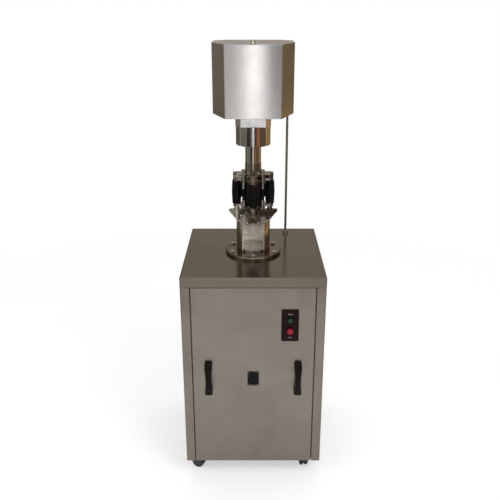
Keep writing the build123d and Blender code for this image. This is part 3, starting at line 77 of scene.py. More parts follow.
def put(shader, values):
    """Sets sockets that are the same all over the surface."""
    for socket, value in values.items():
        shader.inputs[socket].default_value = value


def connect(target, value):
    """Links a socket to the target, or writes a plain value into it."""
    if hasattr(value, "is_linked"):
        link(target.id_data, value, target)
    elif isinstance(value, (tuple, list)):
        target.default_value = (*value[:3], 1)
    else:
        target.default_value = value


def coords(tree, scale, turn=(0, 0, 0)):
    """Object coordinates, stretched by a scale for each axis."""
    tex = tree.nodes.new("ShaderNodeTexCoord")
    mapping = tree.nodes.new("ShaderNodeMapping")
    mapping.inputs["Scale"].default_value = scale
    mapping.inputs["Rotation"].default_value = turn
    link(tree, tex.outputs["Object"], mapping.inputs["Vector"])
    return mapping.outputs["Vector"]


def noise(tree, scale, detail=4.0, rough=0.6, distort=0.0, turn=(0, 0, 0)):
    """Noise with so many cells to the metre along each axis."""
    node = tree.nodes.new("ShaderNodeTexNoise")
    node.inputs["Scale"].default_value = 1.0
    node.inputs["Detail"].default_value = detail
    node.inputs["Roughness"].default_value = rough
    node.inputs["Distortion"].default_value = distort
    link(tree, coords(tree, scale, turn), node.inputs["Vector"])
    return node.outputs["Fac"]


def spread(tree, value, low, high, from_low=0.25, from_high=0.75):
    """Maps a value from one range to another. The default range is where noise mostly lies."""
    node = tree.nodes.new("ShaderNodeMapRange")
    node.inputs["From Min"].default_value = from_low
    node.inputs["From Max"].default_value = from_high
    node.inputs["To Min"].default_value = low
    node.inputs["To Max"].default_value = high
    link(tree, value, node.inputs["Value"])
    return node.outputs["Result"]


def mix_color(tree, factor, a, b):
    """Mixes two colours. The node has sockets for other types too, hence the numbers."""
    node = tree.nodes.new("ShaderNodeMix")
    node.data_type = "RGBA"
    for socket, value in ((0, factor), (6, a), (7, b)):
        connect(node.inputs[socket], value)
    return node.outputs[2]


def maths(tree, kind, a, b=0.0, clamp=False):
    node = tree.nodes.new("ShaderNodeMath")
    node.operation = kind
    node.use_clamp = clamp
    connect(node.inputs[0], a)
    connect(node.inputs[1], b)
    return node.outputs[0]


def bump(tree, height, strength, distance, arris=0.0):
    """Surface relief; arris is the radius that sharp edges look rounded to."""
    node = tree.nodes.new("ShaderNodeBump")
    node.inputs["Strength"].default_value = strength
    node.inputs["Distance"].default_value = distance
    link(tree, height, node.inputs["Height"])
    if arris:
        soft = tree.nodes.new("ShaderNodeBevel")
        soft.samples = 6
        soft.inputs["Radius"].default_value = arris
        link(tree, soft.outputs["Normal"], node.inputs["Normal"])
    return node.outputs["Normal"]


def height_value(tree):
    place = tree.nodes.new("ShaderNodeTexCoord")
    split = tree.nodes.new("ShaderNodeSeparateXYZ")
    link(tree, place.outputs["Object"], split.inputs[0])
    return split.outputs["Z"]


def vector_maths(tree, kind, a, b=None):
    node = tree.nodes.new("ShaderNodeVectorMath")
    node.operation = kind
    link(tree, a, node.inputs[0])
    if b:
        node.inputs[1].default_value = b
    return node.outputs["Value"] if kind == "LENGTH" else node.outputs["Vector"]


def distance_from(tree, centre):
    """Level distance from an upright axis through a centre."""
    place = tree.nodes.new("ShaderNodeTexCoord")
    offset = vector_maths(tree, "SUBTRACT", place.outputs["Object"], centre)
    return vector_maths(tree, "LENGTH", vector_maths(tree, "MULTIPLY", offset, (1, 1, 0)))


def blend_shaders(tree, factor, first, second, output):
    blend = tree.nodes.new("ShaderNodeMixShader")
    link(tree, factor, blend.inputs[0])
    link(tree, first, blend.inputs[1])
    link(tree, second, blend.inputs[2])
    link(tree, blend.outputs[0], tree.nodes[output].inputs["Surface"])


def shade(color, by):
    """A colour made darker or lighter, by one factor or by one for each channel."""
    factors = by if isinstance(by, tuple) else (by, by, by)
    return tuple(min(1, c * f) for c, f in zip(color, factors))


# Metals

# Factors on a metal's own colour; the apron's factor darkens by painted shade
WARM_CLOUD = (0.90, 0.86, 0.80)
OIL_FILM = (0.42, 0.36, 0.28)
DARK_BAND_TONE = (0.22, 0.18, 0.135)
APRON_PAINTED_SHADE = 0.55


def sheet_steel(name, color, rough, grain, smudge=0.10, streak=0.10, aniso=0.35, arris=0.0015,
                apron=None):
    """Brushed sheet: fine lines along one axis, broad streaks, hand smudges and dull spots.

    An apron is a height range over which the sheet grows darker downwards; this darkening is
    painted shade on the work top's front edge."""
    mat, tree, shader = new_material(name)
    fine = noise(tree, grain, 6, 0.75)
    broad = noise(tree, tuple(g * 0.08 for g in grain), 3, 0.6)
    cloud = noise(tree, (5, 5, 5), 5, 0.62, 0.8)
    spots = noise(tree, (46, 46, 46), 2, 0.5)
    lighter = shade(color, 1 + streak)
    base = mix_color(tree, spread(tree, fine, 0, 1), shade(color, 1 - streak), lighter)
    base = mix_color(tree, spread(tree, broad, 0, 1, 0.3, 0.7), base,
                     mix_color(tree, 0.5, base, lighter))
    base = mix_color(tree, spread(tree, cloud, 0, 0.55, 0.42, 0.72), base,
                     shade(color, WARM_CLOUD))
    # Painted shade: the front apron below the top edge is darker.
    if apron:
        base = mix_color(tree, spread(tree, height_value(tree), 1, 0, *apron), base,
                         shade(color, APRON_PAINTED_SHADE))
    link(tree, base, shader.inputs["Base Color"])
    roughness = maths(tree, "ADD", spread(tree, fine, rough * 0.85, rough * 1.15),
                      spread(tree, cloud, -smudge * 0.4, smudge))
    roughness = maths(tree, "ADD", roughness, spread(tree, spots, 0, smudge * 0.5, 0.55, 0.75),
                      clamp=True)
    link(tree, roughness, shader.inputs["Roughness"])
    link(tree, bump(tree, fine, 0.12, 0.00025, arris), shader.inputs["Normal"])
    put(shader, {"Metallic": 1.0, "Anisotropic": aniso, "Anisotropic Rotation": 0.25})
    around_z = tree.nodes.new("ShaderNodeTangent")
    around_z.direction_type = "RADIAL"
    around_z.axis = "Z"
    link(tree, around_z.outputs[0], shader.inputs["Tangent"])
    return mat


def turned_metal(name, color, rough, stain=(0.72, 0.66, 0.55), ring=700, rings=0.05, soil=0.35,
                 metallic=1.0, shine=0.5, dark_band=None):
    """Lathe-turned or ground metal: fine rings round Z, with oil film and small dull marks.

    Dark band is a height range over which the colour grows darker downwards, in patches, darkest
    below it."""
    mat, tree, shader = new_material(name)
    fine = noise(tree, (8, 8, ring), 3, 0.6)
    broad = noise(tree, (3, 3, 90), 2, 0.5)
    film = noise(tree, (28, 28, 16), 4, 0.6, 0.6)
    marks = noise(tree, (160, 160, 160), 2, 0.6)
    base = mix_color(tree, spread(tree, fine, 0, 1), shade(color, 1 - rings),
                     shade(color, 1 + rings))
    base = mix_color(tree, spread(tree, film, 0, soil, 0.48, 0.72), base, shade(color, stain))
    if dark_band:
        dark_share = maths(tree, "MULTIPLY", spread(tree, height_value(tree), 1, 0, *dark_band),
                     spread(tree, film, 0.6, 1.0))
        base = mix_color(tree, dark_share, base, shade(color, DARK_BAND_TONE))
    link(tree, base, shader.inputs["Base Color"])
    roughness = maths(tree, "ADD", spread(tree, film, rough * 0.8, rough * 1.5),
                      spread(tree, marks, 0, 0.07, 0.55, 0.7))
    roughness = maths(tree, "ADD", roughness, spread(tree, broad, -0.01, 0.02), clamp=True)
    link(tree, roughness, shader.inputs["Roughness"])
    link(tree, bump(tree, fine, 0.08, 0.0002, 0.0008), shader.inputs["Normal"])
    put(shader, {"Metallic": metallic, "Specular IOR Level": shine})
    return mat


def milled_metal(name, color, rough, soil=0.5, wear=0.12):
    """Machined blocks: crossed tool marks, oily darker patches and rubbed bright places."""
    mat, tree, shader = new_material(name)
    cuts = noise(tree, (420, 60, 420), 4, 0.7, 0, (0.3, 0.2, 0.6))
    film = noise(tree, (34, 34, 34), 5, 0.62, 0.7)
    rub = noise(tree, (90, 90, 90), 3, 0.55)
    base = mix_color(tree, spread(tree, cuts, 0, 1), shade(color, 1 - wear), shade(color, 1 + wear))
    base = mix_color(tree, spread(tree, film, 0, soil, 0.45, 0.7), base, shade(color, OIL_FILM))
    base = mix_color(tree, spread(tree, rub, 0, 0.5, 0.6, 0.75), base, shade(color, 1.5))
    link(tree, base, shader.inputs["Base Color"])
    roughness = maths(tree, "ADD", spread(tree, cuts, rough * 0.85, rough * 1.2),
                      spread(tree, film, -0.06, 0.08), clamp=True)
    link(tree, roughness, shader.inputs["Roughness"])
    link(tree, bump(tree, cuts, 0.15, 0.0003, 0.0008), shader.inputs["Normal"])
    put(shader, {"Metallic": 1.0})
    return mat


def dull_bore_with_painted_highlights(mat, radius, floor, color, rough):
    """Duller, uneven finish inside a bore round the head axis, above its floor, with a near-white
    patchy colour that is painted highlight.
    """
    tree = mat.node_tree
    shader = tree.nodes["Principled BSDF"]
    plain_color = shader.inputs["Base Color"].links[0].from_socket
    plain_rough = shader.inputs["Roughness"].links[0].from_socket
    reach = distance_from(tree, (0, AXIS_Y, 0))
    inside = maths(tree, "MULTIPLY", spread(tree, reach, 1, 0, radius, radius + 0.001),
                   spread(tree, height_value(tree), 0, 1, floor, floor + 0.004))
    patches = noise(tree, (24, 24, 17), 3, 0.6, 1.2)
    patch_range = (0.40, 0.58)
    # Painted highlight: near-white patches in place of the bright reflections inside the nest.
    painted_highlight_tone = mix_color(tree, spread(tree, patches, 0, 1, *patch_range), shade(color, 0.60), color)
    link(tree, mix_color(tree, inside, plain_color, painted_highlight_tone), shader.inputs["Base Color"])
    outer = maths(tree, "MULTIPLY", plain_rough, maths(tree, "SUBTRACT", 1.0, inside))
    inner = maths(tree, "MULTIPLY", inside,
                  spread(tree, patches, rough * 1.2, rough * 0.6, *patch_range))
    link(tree, maths(tree, "ADD", outer, inner, clamp=True), shader.inputs["Roughness"])
    duller = maths(tree, "MULTIPLY", inside, 0.72)
    link(tree, maths(tree, "SUBTRACT", 1.0, duller), shader.inputs["Metallic"])


# Paint, plastic and rubber

BARE_CHIP = (0.42, 0.40, 0.37)


def painted(name, color, rough, coat=0.3, texture=240, chips=0.25, dust=(0.30, 0.28, 0.25),
            shine=0.5):
    """Enamel or primer: orange peel, dust in patches and a few rubbed chips."""
    mat, tree, shader = new_material(name)
    peel = noise(tree, (texture, texture, texture), 2, 0.5)
    cloud = noise(tree, (14, 14, 14), 5, 0.6, 0.5)
    chip = noise(tree, (75, 75, 75), 5, 0.7)
    base = mix_color(tree, spread(tree, cloud, 0, 1), shade(color, 0.86), shade(color, 1.12))
    base = mix_color(tree, spread(tree, cloud, 0, 0.25, 0.5, 0.8), base, dust)
    base = mix_color(tree, spread(tree, chip, 0, chips, 0.66, 0.7), base, BARE_CHIP)
    link(tree, base, shader.inputs["Base Color"])
    roughness = maths(tree, "ADD", spread(tree, cloud, rough * 0.85, rough * 1.2),
                      spread(tree, chip, 0, 0.1, 0.6, 0.75), clamp=True)
    link(tree, roughness, shader.inputs["Roughness"])
    link(tree, bump(tree, peel, 0.12, 0.0003), shader.inputs["Normal"])
    put(shader, {"Coat Weight": coat, "Coat Roughness": 0.2, "Specular IOR Level": shine})
    return mat


def plastic(name, color, rough, grain=900, grain_depth=0.25, scuff=(0.16, 0.15, 0.14),
            scuffed=0.25, coat=0.0, shine=0.5):
    """Moulded plastic or rubber: spark-eroded grain, scuffs and a worn sheen."""
    mat, tree, shader = new_material(name)
    fine = noise(tree, (grain, grain, grain), 2, 0.5)
    worn = noise(tree, (22, 22, 22), 5, 0.62, 0.5)
    scratch = noise(tree, (220, 30, 90), 3, 0.6, 0, (0.4, 0.7, 0.2))
    base = mix_color(tree, spread(tree, worn, 0, 1), shade(color, 0.8), shade(color, 1.25))
    scratched = maths(tree, "MULTIPLY", spread(tree, scratch, 0, scuffed, 0.6, 0.75),
                      spread(tree, worn, 0, 1, 0.35, 0.6))
    link(tree, mix_color(tree, scratched, base, scuff), shader.inputs["Base Color"])
    roughness = maths(tree, "ADD", spread(tree, worn, rough * 0.85, rough * 1.2),
                      spread(tree, fine, -0.03, 0.03), clamp=True)
    link(tree, roughness, shader.inputs["Roughness"])
    link(tree, bump(tree, fine, grain_depth, 0.0002), shader.inputs["Normal"])
    put(shader, {"Specular IOR Level": shine, "Coat Weight": coat, "Coat Roughness": 0.12})
    return mat


# The finishes. A brushed grain is fine across its lines and long along them.

BRUSHED_UPRIGHT = (420, 420, 9)
BRUSHED_ACROSS = (12, 420, 420)
BRUSHED_LEVEL = (5, 5, 460)

cabinet_front = sheet_steel("cabinet_front", (0.207, 0.185, 0.164), 0.30, BRUSHED_UPRIGHT,
                            streak=0.09)
cabinet_sides = sheet_steel("cabinet_sides", (0.200, 0.176, 0.151), 0.32, BRUSHED_UPRIGHT,
                            smudge=0.12, streak=0.08)
cabinet_inner = sheet_steel("cabinet_inner", (0.20, 0.18, 0.155), 0.38, BRUSHED_ACROSS,
                            smudge=0.12, streak=0.08)
# The front apron under the work top's edge carries painted shade.
work_top = sheet_steel("work_top", (0.26, 0.228, 0.185), 0.15, BRUSHED_ACROSS, streak=0.07,
                       aniso=0.2, apron=(TABLE - 0.005, TABLE - 0.001))
hood_steel = sheet_steel("hood_steel", (0.61, 0.595, 0.585), 0.20, BRUSHED_LEVEL, smudge=0.02,
                         streak=0.04, aniso=0.88, arris=0.0035)
plate_rim = sheet_steel("plate_rim", (0.62, 0.61, 0.58), 0.25, (300, 300, 300))

polished = turned_metal("polished_steel", (0.66, 0.635, 0.60), 0.09)
# Darker on its flange and towards its foot, in patches.
nest_steel = turned_metal("nest_steel", (0.62, 0.565, 0.49), 0.11, soil=0.45,
                          dark_band=(NEST_FLANGE_TOP + 0.0005, NEST_FLANGE_TOP + 0.016))
# The nest's bore: a duller finish with painted highlight in near-white patches.
dull_bore_with_painted_highlights(nest_steel, NEST_BORE + 0.0015, NEST_FLANGE_TOP + 0.001, (0.98, 0.92, 0.83), 0.30)
conduit_steel = turned_metal("conduit_steel", (0.36, 0.34, 0.30), 0.26, ring=180)
ground_steel = turned_metal("ground_steel", (0.50, 0.49, 0.47), 0.16)
fastener = turned_metal("fastener_zinc", (0.62, 0.60, 0.55), 0.18, ring=300, soil=0.4)
bronze = turned_metal("bronze", (0.56, 0.36, 0.15), 0.22, stain=(0.6, 0.5, 0.4))
pulley_metal = turned_metal("pulley_metal", (0.60, 0.60, 0.60), 0.30, ring=500)
black_steel = turned_metal("black_steel", (0.012, 0.0115, 0.014), 0.34, stain=(1.5, 1.3, 1.1),
                           ring=120, metallic=0.5, shine=0.3)
spring_wire = turned_metal("spring_wire", (0.0055, 0.005, 0.0045), 0.42, stain=(1.8, 1.5, 1.2),
                           ring=60, metallic=0.3, shine=0.12)

flange_steel = milled_metal("flange_steel", (0.34, 0.31, 0.255), 0.22, soil=0.6)
head_steel = milled_metal("head_steel", (0.28, 0.255, 0.22), 0.26, soil=0.6)
# The roller arms are alike; these three tones of their steel are painted light and shade: pale on
# the lit left arm, mid on the front and rear, dark on the shaded right arm.
arm_painted_lit = milled_metal("arm_painted_lit", (0.60, 0.58, 0.505), 0.30)
arm_painted_half_lit = milled_metal("arm_painted_half_lit", (0.34, 0.315, 0.265), 0.28, soil=0.6)
arm_painted_shaded = milled_metal("arm_painted_shaded", (0.165, 0.132, 0.126), 0.27)
neck_steel = milled_metal("neck_steel", (0.90, 0.895, 0.89), 0.30, soil=0.12, wear=0.04)

primer = painted("grey_primer", (0.28, 0.28, 0.265), 0.5, coat=0.1)
motor_paint = painted("motor_paint", (0.085, 0.145, 0.20), 0.38, coat=0.5)
plate_black = painted("plate_black", (0.0055, 0.0045, 0.0045), 0.40, coat=0.0, texture=500,
                      chips=0.0, dust=(0.02, 0.018, 0.016), shine=0.07)

black_plastic = plastic("black_plastic", (0.0065, 0.0047, 0.0035), 0.42,
                        scuff=(0.05, 0.04, 0.03), shine=0.06)
station_plastic = plastic("station_plastic", (0.0115, 0.0040, 0.0048), 0.36,
                          scuff=(0.04, 0.03, 0.03), shine=0.05)
caster_nylon = plastic("caster_nylon", (0.016, 0.0145, 0.0135), 0.46,
                       scuff=(0.14, 0.13, 0.12), scuffed=0.4, shine=0.25)
tread_rubber = plastic("tread_rubber", (0.040, 0.037, 0.035), 0.62, grain=400, grain_depth=0.4,
                       scuff=(0.20, 0.18, 0.16), scuffed=0.5, shine=0.25)
belt_rubber = plastic("belt_rubber", (0.020, 0.019, 0.018), 0.55, grain=500, grain_depth=0.5,
                      shine=0.3)
# Brown of the strips in the panel gaps: painted shade for the gaps.
gap_shade_rubber = plastic("gap_shade_rubber", (0.110, 0.082, 0.062), 0.6, grain=500, grain_depth=0.3,
                      scuff=(0.16, 0.13, 0.10), scuffed=0.3, shine=0.2)
green_plastic = plastic("green_plastic", (0.005, 0.026, 0.010), 0.26, grain=500,
                        grain_depth=0.05, scuff=(0.03, 0.07, 0.04), scuffed=0.15, coat=0.05,
                        shine=0.18)
red_plastic = plastic("red_plastic", (0.21, 0.004, 0.016), 0.26, grain=500, grain_depth=0.05,
                      scuff=(0.32, 0.07, 0.08), scuffed=0.15, coat=0.05, shine=0.2)
legend = plastic("legend_pale", (0.150, 0.115, 0.110), 0.5, grain=600, grain_depth=0.1,
                 scuff=(0.1, 0.09, 0.08), scuffed=0.3, shine=0.15)
# Dark screws, and the painted shade in the handle screws' sockets.
dark_screws_and_painted_socket_shade = plastic("dark_screws_and_painted_socket_shade", (0.008, 0.007, 0.006), 0.5, shine=0.2)

LOOK = {
    "body_shell": cabinet_sides, "front_panel": cabinet_front, "top_cover": work_top,
    "floor_plate": cabinet_inner, "frame_tubes": primer, "deck_plate": primer,
    "drive_hangers": primer, "head_bracket": neck_steel, "hood_base": primer,
    "caster_plates": primer, "hood": hood_steel, "bottle_nest": nest_steel,
    "spindle_housing": polished, "spindle": polished, "column": polished,
    "column_collars": polished, "head_adaptor": flange_steel, "lift_platform": polished,
    "conduit": conduit_steel, "motor_shaft": ground_steel, "stay_posts": ground_steel,
    "spider_plates": head_steel, "chuck": head_steel, "spindle_bearings": ground_steel,
    "lift_cam": ground_steel, "torsion_springs": black_steel, "head_core": black_steel,
    "hex_bolts": fastener, "handle_screws": fastener, "hood_stud": fastener,
    "cable_glands": fastener, "handle_left": black_plastic, "handle_right": black_plastic,
    "switch_plate": station_plastic, "name_plate": plate_black, "contact_block": black_plastic,
    "start_button": green_plastic, "stop_button": red_plastic, "guide_bush": bronze,
    "motor": motor_paint, "gear_motor": motor_paint, "spindle_pulley": pulley_metal,
    "motor_pulley": pulley_metal, "belt": belt_rubber,
}
# Painted light and shade: the lit left arm pale, the shaded right arm dark.
ARM_LOOK = {"left": arm_painted_lit, "front": arm_painted_half_lit, "rear": arm_painted_half_lit, "right": arm_painted_shaded}
for side, steel in ARM_LOOK.items():
    LOOK[f"roller_arm_{side}"] = steel
    LOOK[f"roller_{side}"] = ground_steel
for corner in ("front_left", "front_right", "rear_left", "rear_right"):
    LOOK[f"caster_hood_{corner}"] = caster_nylon
    LOOK[f"caster_wheels_{corner}"] = tread_rubber

for name, obj in nodes.items():
    obj.data.materials.clear()
    obj.data.materials.append(LOOK[name])


# Mesh helpers

CORNERS = ((-1, -1), (1, -1), (1, 1), (-1, 1))


def place_mesh(name, mesh, material):
    mesh.materials.append(material)
    obj = bpy.data.objects.new(name, mesh)
    bpy.context.scene.collection.objects.link(obj)
    return obj


def make(name, build, material, body, smooth=35):
    """A new piece from a bmesh function, riding on a body."""
    bm = bmesh.new()
    build(bm)
    bmesh.ops.recalc_face_normals(bm, faces=bm.faces)
    mesh = bpy.data.meshes.new(name)
    bm.to_mesh(mesh)
    bm.free()
    for face in mesh.polygons:
        face.use_smooth = True
    mesh.set_sharp_from_angle(angle=radians(smooth))
    obj = place_mesh(name, mesh, material)
    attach(obj, body)
    return obj


def ring_frame(axis):
    """Two directions square to a unit axis."""
    side = UP if abs(axis.z) < 0.9 else Vector((1, 0, 0))
    u = axis.cross(side).normalized()
    return u, axis.cross(u).normalized()


def circle(bm, centre, u, v, radius, sides):
    """Vertices evenly round a centre, in the plane of u and v."""
    return [bm.verts.new(centre + (u * cos(a) + v * sin(a)) * radius)
            for a in (2 * pi * k / sides for k in range(sides))]


def rectangle(bm, centre, half_width, half_height):
    """Four vertices round a centre, in an upright plane square to the camera's line."""
    return [bm.verts.new(centre + Vector((sx * half_width, 0, sz * half_height)))
            for sx, sz in CORNERS]


def bridge(bm, first, second):
    """Quads between two closed loops with the same number of vertices."""
    count = len(first)
    for k in range(count):
        n = (k + 1) % count
        bm.faces.new((first[k], first[n], second[n], second[k]))


def tube(bm, points, radius, sides=10):
    """Round wire along points, with closed rounded ends."""
    last = len(points) - 1
    rings = []
    u = None
    for i, point in enumerate(points):
        ahead = (points[min(i + 1, last)] - points[max(i - 1, 0)]).normalized()
        if u is None:
            u, v = ring_frame(ahead)
        else:
            u = (u - ahead * u.dot(ahead)).normalized()
            v = ahead.cross(u)
        rings.append(circle(bm, point, u, v, radius, sides))
    for a, b in zip(rings, rings[1:]):
        bridge(bm, a, b)
    ends = ((rings[0], points[0] - points[1]), (rings[-1], points[-1] - points[-2]))
    for ring, outward in ends:
        bulge = outward.normalized() * radius * 0.35
        centre = sum((v.co for v in ring), Vector()) / sides
        tip = [bm.verts.new(centre + (v.co - centre) * 0.7 + bulge) for v in ring]
        bridge(bm, ring, tip)
        bm.faces.new(tip)


def lathe(bm, profile, origin, axis=UP, sides=32):
    """Turned form: profile is (radius, height) pairs along a unit axis from origin."""
    u, v = ring_frame(axis)
    rings = []
    for radius, height in profile:
        centre = origin + axis * height
        if radius == 0:
            rings.append([bm.verts.new(centre)])
        else:
            rings.append(circle(bm, centre, u, v, radius, sides))
    for a, b in zip(rings, rings[1:]):
        for k in range(sides):
            n = (k + 1) % sides
            face = [a[k % len(a)], a[n % len(a)], b[n % len(b)], b[k % len(b)]]
            face = list(dict.fromkeys(face))
            if len(face) > 2:
                bm.faces.new(face)


def screw_head(bm, place, axis, radius, height):
    """Low domed head with a round recess in its middle."""
    dome = [(radius, 0), (radius, height * 0.55), (radius * 0.93, height * 0.8),
            (radius * 0.78, height * 0.95), (radius * 0.56, height),
            (radius * 0.54, height * 0.45), (0, height * 0.45)]
    lathe(bm, dome, place, axis, 24)


def hexagon(bm, place, axis, radius, height):
    """Six-sided head with a chamfered top."""
    u, v = ring_frame(axis)
    chamfer = 0.12 * radius
    rings = [circle(bm, place + axis * h, u, v, r, 6)
             for r, h in ((radius, 0), (radius, height - chamfer), (radius - chamfer, height))]
    for a, b in zip(rings, rings[1:]):
        bridge(bm, a, b)
    bm.faces.new(rings[-1])
    bm.faces.new(rings[0][::-1])


def around(radius, angle, height=0.0):
    """A point round the head axis, angle 0 along +X, height above the work top."""
    turn = radians(angle)
    return Vector((radius * cos(turn), AXIS_Y + radius * sin(turn), TABLE + height))


# Roll-on head: wound springs, their stop pins and the sleeves on the stay posts

SPRING_LOW, SPRING_HIGH = (corner.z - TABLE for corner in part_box("torsion_springs"))
TURNS = 16
TURN_STEPS = 24
WIRE = (SPRING_HIGH - SPRING_LOW) / TURNS / 2 * 0.985
COIL_RADIUS = 0.0198
COIL_TAPER = 0.0022
PIN_CIRCLE = 0.0477
PIN_ANGLE = 14.3


def coils(bm):
    """Four wound springs in place of the ridged solids, a little slimmer at both ends."""
    steps = (TURNS - 1) * TURN_STEPS
    for quarter in range(4):
        middle = around(SPRING_CIRCLE, 90 * quarter)
        points = []
        for i in range(steps + 1):
            along = i / steps
            angle = 2 * pi * i / TURN_STEPS + radians(90 * quarter)
            crest = COIL_RADIUS - COIL_TAPER * abs(2 * along - 1) - WIRE
            z = SPRING_LOW + WIRE + (SPRING_HIGH - SPRING_LOW - 2 * WIRE) * along
            points.append(middle + Vector((crest * cos(angle), crest * sin(angle), z)))
        tube(bm, points, WIRE)


coil_piece = make("spring_coils", coils, spring_wire, "head", 60)
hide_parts("torsion_springs")


def spring_pins(bm):
    """Stop pins under the upper spider, two beside each spring, for the springs' upper legs."""
    profile = [(0.0024, 0), (0.0024, 0.0645), (0.0016, 0.066), (0, 0.066)]
    for quarter in range(4):
        for lean in (-PIN_ANGLE, PIN_ANGLE):
            top = around(PIN_CIRCLE, 90 * quarter + lean, UPPER_SPIDER + 0.0001)
            lathe(bm, profile, top, DOWN, 18)


make("spring_pins", spring_pins, spring_wire, "head")


def post_sleeves(bm):
    """Black buffer sleeves on the stay posts, between the two spiders."""
    bore, chamfered, outer, chamfer = 0.0059, 0.0064, 0.0067, 0.0003
    bottom, length = 0.2295, 0.046
    profile = [(bore, 0), (chamfered, 0), (outer, chamfer), (outer, length - chamfer),
               (chamfered, length), (bore, length)]
    for quarter in range(4):
        lathe(bm, profile, around(STAY_CIRCLE, 90 * quarter + 45, bottom), sides=28)


make("post_sleeves", post_sleeves, spring_wire, "head")


# Small fasteners, seals and plates

def station_marks(bm):
    """Pale legend strips above the start button and under the stop button."""
    half_height = 0.0022
    for rise, half_width in ((0.050, 0.010), (-0.048, 0.007)):
        centre = Vector((STATION_X, STATION_FACE, STATION_Z + rise))
        back = rectangle(bm, centre, half_width, half_height)
        front = rectangle(bm, centre + FORWARD * 0.0006, half_width * 0.97, half_height * 0.9)
        bridge(bm, back, front)
        bm.faces.new(front)


make("station_legends", station_marks, legend, "panel")


def station_screws(bm):
    """Dark screws in the station's four corners, sunk in by 0.2 mm."""
    for dx in (-0.027, 0.027):
        for dz in (-0.059, 0.059):
            place = Vector((STATION_X + dx, STATION_FACE + 0.0002, STATION_Z + dz))
            screw_head(bm, place, FORWARD, 0.0026, 0.0010)


make("station_screws", station_screws, dark_screws_and_painted_socket_shade, "panel")


def handle_sockets(bm):
    """Dark hexagons that read as the sockets of the four handle screws: painted shade where the
    recesses would be.
    """
    low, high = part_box("handle_screws")
    head = 0.0045
    for x in (low.x + head, high.x - head):
        for z in (low.z + head, high.z - head):
            hexagon(bm, Vector((x, low.y - 0.0001, z)), FORWARD, 0.0024, 0.0002)


make("handle_sockets", handle_sockets, dark_screws_and_painted_socket_shade, "panel")


def panel_gap_shade_strips(bm):
    """Rubber strips on the panel's folded sides, set back in the gaps and clear of the posts; their
    brown is painted shade for the gaps.
    """
    low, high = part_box("front_panel")
    near, far = low.y + 0.0019, high.y - 0.003
    section = [(-0.0001, far), (0.0016, far), (0.0023, (near + far) / 2),
               (0.0019, near + 0.0006), (0.0012, near), (-0.0001, near)]
    for side, edge in ((-1, low.x), (1, high.x)):
        ends = [[bm.verts.new((edge + side * out, y, z)) for out, y in section]
                for z in (low.z + 0.002, high.z - 0.002)]
        bridge(bm, *ends)
        for end in ends:
            bm.faces.new(end)


make("panel_gap_shade_strips", panel_gap_shade_strips, gap_shade_rubber, "panel")


def plate_trim(bm):
    """Thin raised rim round the bare plate and its four drive rivets."""
    low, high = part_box("name_plate")
    centre = Vector(((low.x + high.x) / 2, low.y, (low.z + high.z) / 2))
    margin, band, rise = 0.0022, 0.0011, 0.0004
    half_width = (high.x - low.x) / 2 - margin
    half_height = (high.z - low.z) / 2 - margin
    loops = [rectangle(bm, centre + FORWARD * lift, half_width - inset, half_height - inset)
             for inset, lift in ((0, 0), (0, rise), (band, rise), (band, 0))]
    for a, b in zip(loops, loops[1:]):
        bridge(bm, a, b)
    rivet = [(0.0013, 0), (0.0012, 0.0004), (0.0007, 0.0007), (0, 0.0008)]
    reach = 0.0035
    for sx in (-1, 1):
        for sz in (-1, 1):
            offset = Vector((sx * (half_width - reach), 0, sz * (half_height - reach)))
            lathe(bm, rivet, centre + offset, FORWARD, 14)


make("plate_trim", plate_trim, plate_rim, "panel")


def caster_bolts(bm):
    """Four hexagon heads under the corners of each caster plate."""
    low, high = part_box("caster_plates")
    half_plate, plate, bolt = 0.024, 0.003, 0.018
    underside = high.z - plate
    for x in (low.x + half_plate, high.x - half_plate):
        for y in (low.y + half_plate, high.y - half_plate):
            for dx in (-bolt, bolt):
                for dy in (-bolt, bolt):
                    hexagon(bm, Vector((x + dx, y + dy, underside)), DOWN, 0.0038, 0.003)


make("caster_bolts", caster_bolts, fastener, "machine")


# Floor and cards

def stage_mesh(name, points, faces, material):
    mesh = bpy.data.meshes.new(name)
    mesh.from_pydata(points, [], faces)
    obj = place_mesh(name, mesh, material)
    return obj


def floor_material():
    """Matt pale floor that turns into plain white with distance, for the camera alone."""
    mat, tree, shader = new_material("pale_floor")
    grain = noise(tree, (3, 3, 3), 4, 0.6)
    pale = mix_color(tree, spread(tree, grain, 0, 1), (0.93, 0.93, 0.925), (0.95, 0.95, 0.945))
    link(tree, pale, shader.inputs["Base Color"])
    put(shader, {"Roughness": 0.75})
    glow = tree.nodes.new("ShaderNodeEmission")
    put(glow, {"Color": WHITE, "Strength": 1.0})
    rays = tree.nodes.new("ShaderNodeLightPath")
    place = tree.nodes.new("ShaderNodeTexCoord")
    reach = vector_maths(tree, "LENGTH", place.outputs["Object"])
    far = spread(tree, reach, 0.5, 1.0, 0.7, 3.0)
    faded = maths(tree, "MULTIPLY", rays.outputs["Is Camera Ray"], far)
    blend_shaders(tree, faded, shader.outputs[0], glow.outputs[0], "Material Output")
    return mat


stage_mesh("floor", [(-14, -12, 0), (14, -12, 0), (14, 16, 0), (-14, 16, 0)], [(0, 1, 2, 3)],
           floor_material())

CARD_REACH = 1.7
CARD_FACETS = 12
UNSEEN = ("visible_camera", "visible_diffuse", "visible_shadow", "visible_transmission",
          "visible_volume_scatter")


